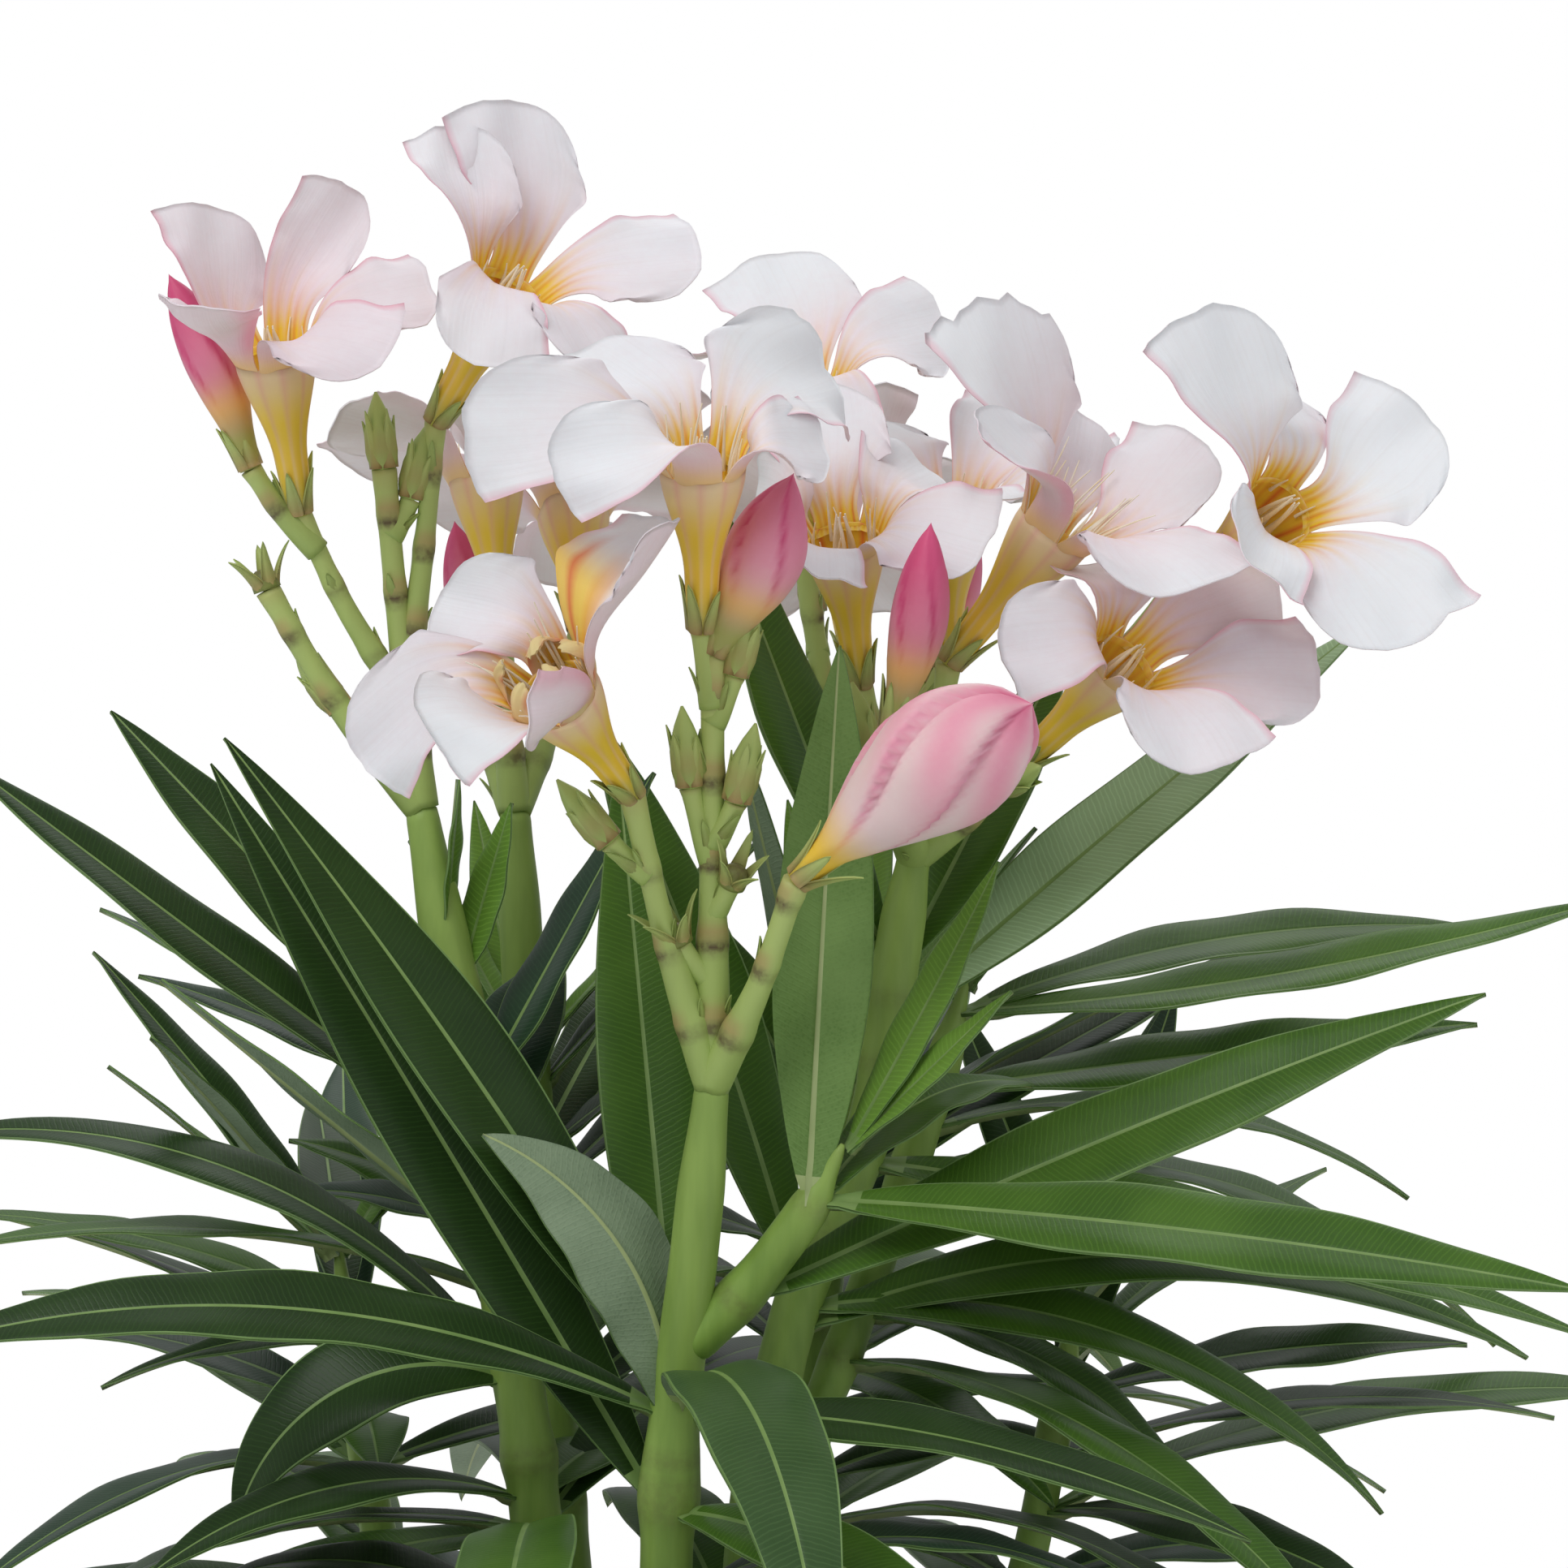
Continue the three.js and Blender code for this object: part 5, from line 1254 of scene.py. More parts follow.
def make_limbs():
    """The stems and boughs, and the green shoots, as two stocks."""
    bark, green = Stock(), Stock()
    for index, limb in enumerate(LIMBS.values()):
        add_limb(green if limb["kind"] == "shoot" else bark, limb, index)
    return bark, green


# ---------------------------------------------------------------- flowers
PETAL_ROWS, PETAL_COLUMNS = 26, 21
# Where a petal's rows and columns of points lie: along it, from just inside the throat to its end, and across
# it, closer together at its edges. ON_BLADE counts what lies inside the throat as its start.
PETAL_START = -0.06
ALONG_PETAL = np.linspace(PETAL_START, 1, PETAL_ROWS)[:, None]
ON_BLADE = np.clip(ALONG_PETAL, 0, 1)
PETAL_STEP = ALONG_PETAL[1, 0] - ALONG_PETAL[0, 0]
ACROSS_PETAL = -np.cos(np.linspace(0, np.pi, PETAL_COLUMNS))[None, :]
# How far a petal's claw leans from the flower's axis, and how far round the throat it reaches to each side.
CLAW_LEAN, CLAW_WRAP = math.radians(24), 35
SCALE_ROWS, SCALE_COLUMNS = 9, 5
# The finishes that flowers wear, by number.
FACE, BACK, TUBE = range(3)


def petal_plan(twig):
    """A flower's five petals, each as its direction and sizes, and the turn of the first about the flower's
    axis."""
    axis, side, other = twig["axis"], twig["side"], twig["other"]
    draw = dice(twig["seed"])
    if twig["petals"]:
        rows = [(towards(a, r), *rest) for a, r, *rest in twig["petals"]]
        turns = np.degrees([math.atan2(row[0] @ other, row[0] @ side) for row in rows])
        offsets = (turns - turns[0] - PETAL_TURN * np.arange(PETALS_EACH) + 180) % 360 - 180
        first = turns[0] + offsets.mean()
    else:
        rows, first = [], 0.0
        for k in range(PETALS_EACH):
            out = turned(side, axis, PETAL_TURN * k)
            lean = math.radians(84 * twig["open"] + 10 * (draw() - 0.5))
            direction = axis * math.cos(lean) + out * math.sin(lean)
            length = FLOWER["petal"] * mix(0.94, 1.06, draw())
            rows.append((direction, length, FLOWER["width"], 20, 14 * draw(), 0.12))
    return rows, first


def petal_line(twig, out, direction, length, roll, curl):
    """A petal's midline, bent from its claw's way to its blade's and then curled: its places, and at each the
    ways along it, across it and out of its face."""
    axis = twig["axis"]
    across = np.cross(axis, out)
    start = axis * math.cos(CLAW_LEAN) + out * math.sin(CLAW_LEAN)
    ease = smooth(ALONG_PETAL / 0.5)
    along = unit(start * (1 - ease) + direction * ease)
    facing = unit(np.cross(along, across))
    bend = np.radians(curl) * ON_BLADE**2
    along = along * np.cos(bend) - facing * np.sin(bend)
    step = PETAL_STEP * length
    rim = twig["end"] + axis * FLOWER["tube"] + out * FLOWER["throat"]
    place = rim + np.cumsum(along * step, axis=0) - along[0] * step + along * (PETAL_START * length)
    wide = unit(across - along * (along @ across)[:, None])
    normal = np.cross(along, wide)
    c, s = np.cos(np.radians(roll * ON_BLADE)), np.sin(np.radians(roll * ON_BLADE))
    return place, along, wide * c + normal * s, normal * c - wide * s


def petal_outline(width, hand, torn, draw):
    """Each point's place along the midline, as a share of it, and how far across the petal it lies."""
    v, corner = ACROSS_PETAL, ACROSS_PETAL * hand
    rounded = 0.60 + 0.40 * np.sqrt(1 - np.minimum(corner, 0) ** 2)
    reach = np.where(corner < 0, rounded, 1 - 0.10 * corner**2 - 0.02 * corner**8)
    notches = np.sin(11 * v + 6 * draw()) + 0.8 * np.sin(25 * v + 6 * draw())
    notches = notches + 0.5 * np.sin(47 * v + 6 * draw())
    dent = 0.035 * draw() * np.exp(-(((v - 0.8 * draw()) / 0.22) ** 2))
    reach = reach * (1 - dent + (0.003 + torn) * notches)
    blade = ON_BLADE * mix(1, reach, smooth((ON_BLADE - 0.15) / 0.6))
    at = np.where(ALONG_PETAL < 0, ALONG_PETAL, blade)
    claw = 2 * FLOWER["throat"] * math.sin(math.radians(CLAW_WRAP)) / width
    share = mix(claw, 1.0, smooth((ON_BLADE - 0.04) / 0.66))
    point = 0.055 * hand * ON_BLADE**5 * np.clip(corner - 0.6, 0, 1) / 0.4
    return at, width * (0.5 * v * share + 0.07 * hand * ON_BLADE**2 + point)


def petal_relief(width, hand, stand, seed, draw):
    """How far each point lifts: edges that stand up, a sunk midline, ruffles, waves and pleats."""
    v, corner, body = ACROSS_PETAL, ACROSS_PETAL * hand, ON_BLADE
    lift = stand * width * 0.5 * np.abs(v) ** 1.8 * smooth(body / 0.5)
    lift = lift - 0.6 * (1 - np.abs(v)) * smooth(body / 0.4) * (1 - body)
    ruffle = 0.045 * width * smooth((body - 0.25) / 0.6) * ripple(2.4 * v, 3.4 * body, seed + 3)
    edge = 0.018 * width * smooth((body - 0.5) / 0.5) * np.sin(6.5 * v + 5 * draw() + 3 * body)
    side_wave = np.sin(11 * body + 6 * draw() + 1.5 * np.sign(v)) + 0.6 * np.sin(23 * body + 6 * draw())
    edge = edge + 0.022 * width * smooth((np.abs(v) - 0.6) / 0.4) * smooth((body - 0.3) / 0.3) * side_wave
    edge = edge - 0.11 * width * smooth((corner - 0.5) / 0.5) * smooth((body - 0.62) / 0.38)
    pleats = 0.055 * smooth((body - 0.15) / 0.5) * np.sin(34 * v + 2 * np.sin(5 * body + seed))
    return lift + ruffle + edge + pleats


def petal_tints(twig, at, hand, stain, seed):
    """The tints of a petal's face and back: a gold heart with red veins, and a blush at the heart and along
    the cornered edge."""
    v, corner, body = ACROSS_PETAL, ACROSS_PETAL * hand, ON_BLADE
    rays = np.cos(2.6 * np.pi * v) ** 4
    heart = np.exp(-((at / 0.15) ** 2)) + 0.7 * np.exp(-((at / 0.30) ** 2)) * rays
    veins = np.exp(-((at / 0.22) ** 2)) * np.cos(3.9 * np.pi * v + 0.4) ** 14 * (at > -0.02)
    margin = smooth((corner - 0.9) / 0.1) * smooth((body - 0.15) / 0.3)
    blush = 0.02 + twig["dusky"] + 0.2 * np.exp(-((at / 0.4) ** 2)) + 0.3 * margin
    blush = blush + 0.06 * ripple(2 * v, 4 * body, seed + 8)
    stained = stain * smooth((v - 0.05) / 0.4) * (1 - smooth((at - 0.4) / 0.35))
    gold = np.maximum(0.9 * heart, stained)
    lines = np.exp(-(((v - 0.38) / 0.07) ** 2)) + np.exp(-(((v - 0.8) / 0.06) ** 2))
    red = np.maximum(0.85 * veins, stain * lines * (1 - smooth((at - 0.5) / 0.3)))
    band = smooth((corner - 0.45) / 0.5) * smooth((body - 0.02) / 0.3)
    blush_under = 0.04 + twig["rose"] * (0.30 * band + 0.12) + 0.22 * np.exp(-((at / 0.3) ** 2))
    gold_under = 0.6 * np.exp(-((at / 0.12) ** 2))
    face = np.stack([blush, gold, red, 0 * at], axis=-1)
    return face, np.stack([blush_under, gold_under, 0 * at, 0 * at], axis=-1)


def faded_tints(at, seed):
    """The tints of a withered scale: yellow, with ragged red edges."""
    ragged = smooth((np.abs(ACROSS_PETAL) - 0.5) / 0.5) * (0.6 + 0.4 * np.sin(9 * at + seed))
    shares = [0.1 + 0.1 * ragged, 0.6 - 0.2 * ragged, 0.75 * ragged, 0.25 * smooth(at)]
    return [np.stack(shares, axis=-1)] * 2


def add_petal(stock, twig, base, row, seed, faded=False):
    """A thin petal with a narrow claw and a broad blade, whose end is round on one side and cornered on the
    other."""
    direction, length, width, roll, curl, stand, torn, stain = (*row, 0, 0)[:8]
    hand = math.copysign(1, width)
    width = abs(width)
    draw = dice(seed)
    out = turned(twig["side"], twig["axis"], base)
    place, along, wide, normal = petal_line(twig, out, direction, length, roll, curl)
    at, x = petal_outline(width, hand, torn, draw)
    lift = petal_relief(width, hand, stand, seed, draw)

    # The midline's places and ways are read between its rows.
    index = np.clip((at - PETAL_START) / PETAL_STEP, 0, PETAL_ROWS - 1)
    low = np.minimum(np.floor(index).astype(int), PETAL_ROWS - 2)
    w = (index - low)[..., None]
    beyond = np.clip(at - 1, 0, None)[..., None] * length

    def sample(table):
        return table[low] * (1 - w) + table[low + 1] * w

    # The claw is wrapped round the throat.
    wrapped = FLOWER["throat"] * (1 - np.cos(np.radians(CLAW_WRAP * ACROSS_PETAL)))
    wrapped = wrapped * (1 - smooth(ON_BLADE / 0.35))
    face = sample(normal)
    points = sample(place) + sample(along) * beyond + sample(wide) * x[..., None]
    points = points - out * wrapped[..., None] + face * lift[..., None]
    thick = (0.5 - 0.3 * np.abs(ACROSS_PETAL) ** 4) * (1 - 0.4 * ON_BLADE)
    top, under = points + face * (thick / 2)[..., None], points - face * (thick / 2)[..., None]
    tints = faded_tints(at, seed) if faded else petal_tints(twig, at, hand, stain, seed)
    marks = np.stack([at, ACROSS_PETAL + 0 * at, np.full(at.shape, 9.0 * draw())], axis=-1)
    add_shell(stock, top, under, (FACE, BACK, FACE), marks, tints)


def add_curls(stock, twig, first):
    """Narrow withered scales that coil over the mouth of a fading flower, yellow with red edges."""
    draw = dice(twig["seed"] + 70)
    for k in range(PETALS_EACH):
        base = first + PETAL_TURN * k
        out = turned(twig["side"], twig["axis"], base)
        direction = unit(twig["axis"] + out * mix(-0.3, 0.35, draw()))
        curl = mix(-150, -60, draw())
        length, width, roll = mix(8, 12, draw()), mix(2.6, 4.2, draw()), mix(-60, 60, draw())
        add_petal(stock, twig, base, (direction, length, width, roll, curl, 0.6, 0.012), 300 + k, faded=True)


def add_funnel(stock, twig):
    """The flower's tube: a narrow neck that opens into a throat, with an inner wall and coloured streaks."""
    sides = 40
    reach, neck, throat = FLOWER["tube"], FLOWER["neck"], FLOWER["throat"]
    t = np.linspace(0, 1, 20)
    outer = neck * (1 + 0.25 * smooth(t / 0.35)) + (throat - neck * 1.1) * smooth((t - 0.3) / 0.75) ** 1.15
    outer[-1] = throat + 0.2
    inner_t = np.linspace(1, 0.45, 12)
    inner = np.interp(inner_t, t, outer) - 0.7
    heights = np.concatenate([t * reach, inner_t * reach - 0.1])
    radii = np.concatenate([outer, inner])
    turn = turns_round(sides)
    rise = np.concatenate([smooth(t / 0.5), smooth(inner_t / 0.5)])[:, None]
    table = radii[:, None] * (1 + 0.035 * np.cos(PETALS_EACH * turn)[None, :] * rise)
    ringed = spokes(sides, twig["side"], twig["other"])
    rings = (twig["end"] + heights[:, None, None] * twig["axis"]) + table[..., None] * ringed[None]
    share = np.concatenate([t, inner_t])[:, None] + 0 * turn[None, :]
    within = np.concatenate([0 * t, 0 * inner_t + 1])[:, None] + 0 * turn[None, :]
    lines = np.cos(PETALS_EACH * turn + 0.6)[None, :] ** 10
    gold = np.where(within > 0, 0.95, mix(0.97, 0.45, smooth((share - 0.6) / 0.4)))
    gold = gold * (1 - 0.3 * lines * (1 - within))
    blush = np.where(within > 0, 0.1, 0.4 * smooth((share - 0.5) / 0.5) * (0.3 + 0.7 * lines))
    streaks = 0.8 * np.cos(7.5 * turn)[None, :] ** 12
    flush = 0.25 * lines * smooth((share - 0.2) / 0.4) * (1 - smooth((share - 0.7) / 0.3))
    red = np.where(within > 0, streaks, flush)
    lime = np.where(within > 0, 0, 0.75 * (1 - smooth(share / 0.3)))
    deepest = twig["end"] + twig["axis"] * (heights[-1] - 0.5)
    tint = np.stack([blush, gold, red, lime], axis=-1)
    add_rings(stock, rings, twig["end"], deepest, TUBE, tint=tint)


def add_scale(stock, foot, axis, out, length, width, lean, hug, tint_foot, tint_tip):
    """A sepal or bract: a thin pointed scale, hollow towards the axis it stands by."""
    s, v = np.linspace(0, 1, SCALE_ROWS), np.linspace(-1, 1, SCALE_COLUMNS)
    half = 0.5 * width * np.sqrt(np.clip(1 - s, 0.0004, 1)) * (1 - 0.25 * s) * np.minimum(1, 0.8 + s)
    across = np.cross(axis, out)
    lean = np.radians(lean) * (0.35 + 0.65 * s)[:, None]
    along = axis * np.cos(lean) + out * np.sin(lean)
    step = length / (SCALE_ROWS - 1)
    place = foot + np.cumsum(along * step, axis=0) - along[0] * step
    normal = np.cross(along, across)
    cup = -(hug + 0.22) * half[:, None] * (v[None] ** 2)
    points = place[:, None] + across * (v[None, :] * half[:, None])[..., None] + out * cup[..., None]
    thick = 0.42 * (1 - 0.5 * s)[:, None, None]
    top, under = points + normal[:, None] * thick / 2, points - normal[:, None] * thick / 2
    fade = (1 - s)[:, None, None] ** 2
    shade = np.array(tint_foot)[None, None] * fade + np.array(tint_tip)[None, None] * (1 - fade)
    shade = np.broadcast_to(shade, (SCALE_ROWS, SCALE_COLUMNS, 4))
    add_shell(stock, top, under, (0, 0, 0), None, (shade, shade))


def add_calyx(stock, twig, length, lean, radius):
    """Five pointed sepals, red-brown at the foot, round the foot of a flower or bud."""
    draw = dice(twig["seed"] + 2)
    for k in range(PETALS_EACH):
        out = turned(twig["side"], twig["axis"], PETAL_TURN * k + 36 + 8 * (draw() - 0.5))
        foot = twig["end"] + twig["axis"] * 0.2 + out * radius
        reach, away = length * mix(0.85, 1.15, draw()), lean * mix(0.6, 1.5, draw())
        add_scale(
            stock, foot, twig["axis"], out, reach, 3.0, away, 0.3, (0.0, 0.5, 0.6, 0), (0.1, 1.0, 0.0, 0),
        )


def add_bud(stock, twig, rows, twist, tint_of, swirl=0.09, sides=40, crumple=0.015):
    """A spindle of rolled petals. Each of five petals laps over the next along a spiral seam."""
    length = rows[-1][0]
    at, radius = (np.array(column, float) for column in zip(*rows))
    run = np.linspace(0, length, 40)
    fine = Path(np.column_stack([at, radius, 0 * at])).at(np.linspace(0, 1, 240))
    body = np.interp(run, fine[:, 0], np.maximum(fine[:, 1], 0))
    body[-1] = 0.12
    turn = turns_round(sides)
    share = run / length
    lap = (PETALS_EACH * turn[None, :] / (2 * np.pi) + twist * share[:, None]) % 1.0
    seam = np.exp(-((np.minimum(lap, 1 - lap) / 0.09) ** 2))
    table = body[:, None] * (1 + swirl * smooth((share - 0.2) / 0.3)[:, None] * (lap - 0.5 - 0.35 * seam))
    creases = ripple(0.3 * run[:, None] + 3 * np.cos(turn)[None], 3 * np.sin(turn)[None], twig["seed"])
    table = table * (1 + crumple * creases * smooth((share - 0.15) / 0.3)[:, None])
    ringed = spokes(sides, twig["side"], twig["other"])
    bend = twig["other"] * (0.03 * length * np.sin(np.pi * share))[:, None]
    rings = (twig["end"] + run[:, None] * twig["axis"] + bend)[:, None] + table[..., None] * ringed[None]
    tip = twig["end"] + bend[-1] + twig["axis"] * (length + 0.3)
    tint = np.stack(tint_of(share[:, None] + 0 * lap, seam, lap), axis=-1)
    add_rings(stock, rings, twig["end"], tip, TUBE, tint=tint)


def rose(share, seam, lap):
    """A small hard bud: as a pink one, in a deeper rose."""
    blush, *others = rosy(share, seam, lap)
    return blush + 0.22, *others


def rosy(share, seam, lap):
    """A pink bud: lime and gold at the foot, then pink, and rose at the tip and along the seams."""
    blush = 0.42 + 0.45 * smooth((share - 0.3) / 0.7)
    blush = blush + 0.35 * seam * smooth((share - 0.2) / 0.3) - 0.1 * lap
    lime = 0.9 * (1 - smooth((share - 0.12) / 0.22))
    gold = 0.6 * np.exp(-(((share - 0.3) / 0.12) ** 2))
    return blush, gold, 0 * share, lime


def swollen(share, seam, lap):
    """A bud about to open: white and pale pink sheets with rose edges."""
    patches = 0.5 + 0.5 * np.sin(7 * share + 5 * lap)
    blush = 0.16 + 0.34 * patches * smooth((share - 0.3) / 0.5) + 0.30 * seam
    blush = blush + 0.3 * smooth((share - 0.86) / 0.14)
    gold = 0.95 * (1 - smooth((share - 0.12) / 0.24))
    return blush, gold, 0 * share, 0.5 * (1 - smooth(share / 0.12))


# Each kind of bud: its spindle as heights and radii, how far its petals wind round it, what shades it, and
# where it needs them how far each petal stands off the next, how many sides it has and how creased it is.
# Then its calyx.
BUDS = {
    "bud": (
        dict(
            rows=[(0, 1.8), (6, 2.4), (13, 3.9), (19, 4.4), (25, 3.6), (30, 1.8), (33, 0)],
            twist=1.1, tint_of=rose,
        ),
        dict(length=8.0, lean=8, radius=2.0),
    ),
    "plump": (
        dict(
            rows=[(0, 2.0), (6, 3.4), (12, 5.4), (18, 6.1), (23, 4.9), (27, 2.6), (30, 0)],
            twist=1.1, tint_of=rosy,
        ),
        dict(length=8.5, lean=16, radius=2.2),
    ),
    "fat": (
        dict(
            rows=[(0, 2.0), (7, 2.8), (13, 5.2), (20, 8.0), (28, 9.9), (36, 9.0), (42, 5.4), (45, 0)],
            twist=1.6, tint_of=swollen, swirl=0.2, sides=60, crumple=0.07,
        ),
        dict(length=9.0, lean=22, radius=2.2),
    ),
}


def add_green_bud(stock, twig):
    """A small closed bud: five sepals lapped round a green core, reddened at the foot."""
    length, sides = 12.5, 20
    run = np.linspace(0, length, 14)
    body = np.interp(run, [0, 2.5, 6, 9.5, length], [1.9, 2.6, 2.5, 1.5, 0.2])
    turn = PETALS_EACH * 2 * np.pi * np.arange(sides) / sides
    table = body[:, None] * (1 + 0.07 * np.cos(turn + 0.12 * run[:, None]))
    share = run / length
    red = 0.3 * np.exp(-(((share - 0.3) / 0.2) ** 2))
    shade = np.stack([0 * share, 0.5 + 0.4 * share, red, 0 * share], axis=1)
    add_tube(stock, twig["end"] + run[:, None] * twig["axis"], table, shade, twig["side"])
    add_calyx(stock, twig, 8.5, 5, 2.2)


def add_spent(stock, twig):
    """What is left where a flower has dropped: a cup of sepals round a brown stub."""
    length, sides = 3.4, 14
    run = np.linspace(0, length, 8)
    table = np.repeat((2.3 * np.sqrt(np.clip(1 - (run / 3.6) ** 3, 0.05, 1)))[:, None], sides, axis=1)
    shade = np.stack([0.3 + 0.5 * run / length, 0 * run, 0.2 + 0 * run, 0 * run], axis=1)
    add_tube(stock, twig["end"] + run[:, None] * twig["axis"], table, shade, twig["side"])
    add_calyx(stock, twig, 7.0, 34, 2.0)


def add_twig(stock, twig, index):
    """A flower stalk with small joints, swollen under what it carries, with a bract where it starts."""
    length = twig["path"].length()
    rows = max(10, int(length / 1.2))
    t = np.linspace(0, 1, rows + 1)
    run = t * length
    thick, thin = (2.9, 1.8) if twig["parent"] < 0 else (2.1, 1.6)
    radius = mix(thick, thin, smooth(t * 1.5)) * (1 + 0.14 * smooth((t - 0.86) / 0.14))
    joints = np.arange(9, length - 4, 12.5)
    scar, flush = np.zeros(rows + 1), np.zeros(rows + 1)
    for at in joints:
        scar = np.maximum(scar, np.exp(-(((run - at) / 1.0) ** 2)))
        flush = np.maximum(flush, np.exp(-(((run - at - 2.2) / 1.6) ** 2)))
        radius = radius * (1 + 0.12 * np.exp(-(((run - at - 1.2) / 1.8) ** 2)))
    turn = turns_round(16)
    table = radius[:, None] * (1 + 0.02 * ripple(0.6 * run[:, None], 4 * np.cos(turn)[None], index))
    one_side = smooth(0.5 + 0.9 * np.cos(turn + 2 * index))[None, :]
    red = np.maximum(0.2 * smooth((t - 0.9) / 0.1)[:, None], 0.5 * flush[:, None] * one_side)
    brown = np.clip(scar[:, None] * (0.45 + 0.7 * one_side), 0, 1)
    shade = np.stack([brown, (0.6 + 0.4 * t)[:, None] + 0 * brown, red, 0 * brown], axis=-1)
    add_tube(stock, twig["path"].at(t), table, shade)
    draw = dice(index + 40)
    for at in [2.0, *joints]:
        share = at / length
        axis = twig["path"].along(share)
        out = turned(square_to(axis)[0], axis, 360 * draw())
        foot = twig["path"].at(share) + out * np.interp(share, t, radius) * 0.86
        reach = mix(3.2, 6.5, draw())
        add_scale(stock, foot, axis, out, reach, 2.4, 14, 0.2, (0.35, 0.3, 0.2, 0), (0.1, 0.6, 0, 0))


def make_heads(green):
    """All the flower heads: stalks go with the green shoots, and petals, tubes and buds are pieces of their
    own."""
    petals, cups, fringe = Stock(), Stock(), []
    for h, head in enumerate(HEADS):
        for k, twig in enumerate(twigs_of(head)):
            add_twig(green, twig, 50 * h + k)
            kind = twig["kind"]
            if kind == "flower":
                add_funnel(cups, twig)
                rows, first = petal_plan(twig)
                for p, row in enumerate(rows):
                    add_petal(petals, twig, first + PETAL_TURN * p, row, twig["seed"] + 5 * p)
                if twig["fading"]:
                    add_curls(petals, twig, first)
                add_calyx(green, twig, 8.0, 14, 2.3)
                fringe += fringe_lines(twig, first)
            elif kind in BUDS:
                shape, calyx = BUDS[kind]
                add_bud(cups, twig, **shape)
                add_calyx(green, twig, **calyx)
            elif kind == "green":
                add_green_bud(green, twig)
            else:
                add_spent(green, twig)
    return petals, cups, fringe


# ---------------------------------------------------------------- what Geometry Nodes make
def tree_of(name, inputs):
    """A geometry tree with named inputs, and a helper that adds and wires its nodes."""
    tree = bpy.data.node_groups.new(name, "GeometryNodeTree")
    tree.interface.new_socket("Geometry", in_out="INPUT", socket_type="NodeSocketGeometry")
    for label, kind in inputs.items():
        tree.interface.new_socket(label, in_out="INPUT", socket_type="NodeSocket" + kind)
    tree.interface.new_socket("Geometry", in_out="OUTPUT", socket_type="NodeSocketGeometry")

    def node(kind, *links, **values):
        one = tree.nodes.new(kind)
        for key, value in values.items():
            setattr(one, key, value)
        for socket, source in links:
            if isinstance(source, bpy.types.NodeSocket):
                tree.links.new(source, one.inputs[socket])
            else:
                one.inputs[socket].default_value = source
        return one

    return tree, node


def grown_mesh(source, tree, name, values):
    """The plain mesh that a geometry tree makes from a source object, which is then removed."""
    modifier = source.modifiers.new(name, "NODES")
    modifier.node_group = tree
    for socket in tree.interface.items_tree:
        if socket.in_out == "INPUT" and socket.name in values:
            modifier[socket.identifier] = values[socket.name]
    bpy.context.view_layer.update()
    depsgraph = bpy.context.evaluated_depsgraph_get()
    mesh = bpy.data.meshes.new_from_object(source.evaluated_get(depsgraph))
    bpy.data.objects.remove(source)
    made = bpy.data.objects.new(name, mesh)
    bpy.context.scene.collection.objects.link(made)
    return made


def fringe_lines(twig, first):
    """The throat's fringe: each petal's scale is cut into thin threads that stand up from the rim, and five
    anthers stand in the middle."""
    lines = []
    draw = dice(twig["seed"] + 9)
    axis = twig["axis"]
    threads, reach = twig["fringe"]
    for petal in range(PETALS_EACH):
        for k in range(threads):
            turn = first + PETAL_TURN * petal + 44 * ((k + 0.5) / threads - 0.5) + 8 * (draw() - 0.5)
            out = turned(twig["side"], axis, turn)
            length = reach * mix(5, 11, draw() ** 0.8)
            lean = math.radians(mix(-8, 26, draw()))
            sway = np.cross(axis, out) * (3.2 * (draw() - 0.5))
            foot = twig["end"] + axis * (FLOWER["tube"] - 2.4) + out * (FLOWER["throat"] - 1.2)
            s = np.linspace(0, 1, 7)[:, None]
            line = foot + axis * (length * s * math.cos(lean)) + out * (length * s**1.7 * math.sin(lean))
            lines.append((line + sway * s**2, np.linspace(0.34, 0.09, 7)))
    for k in range(PETALS_EACH):
        out = turned(twig["side"], axis, PETAL_TURN * k + 20)
        s = np.linspace(0, 1, 8)[:, None]
        foot = twig["end"] + axis * (FLOWER["tube"] * 0.62) + out * 1.6
        line = foot + axis * (15 * s) + turned(out, axis, 90) * (1.2 * np.sin(3 * s)) - out * (0.9 * s)
        lines.append((line, np.array([0.7, 0.75, 0.7, 0.55, 0.4, 0.34, 0.28, 0.15])))
    return lines


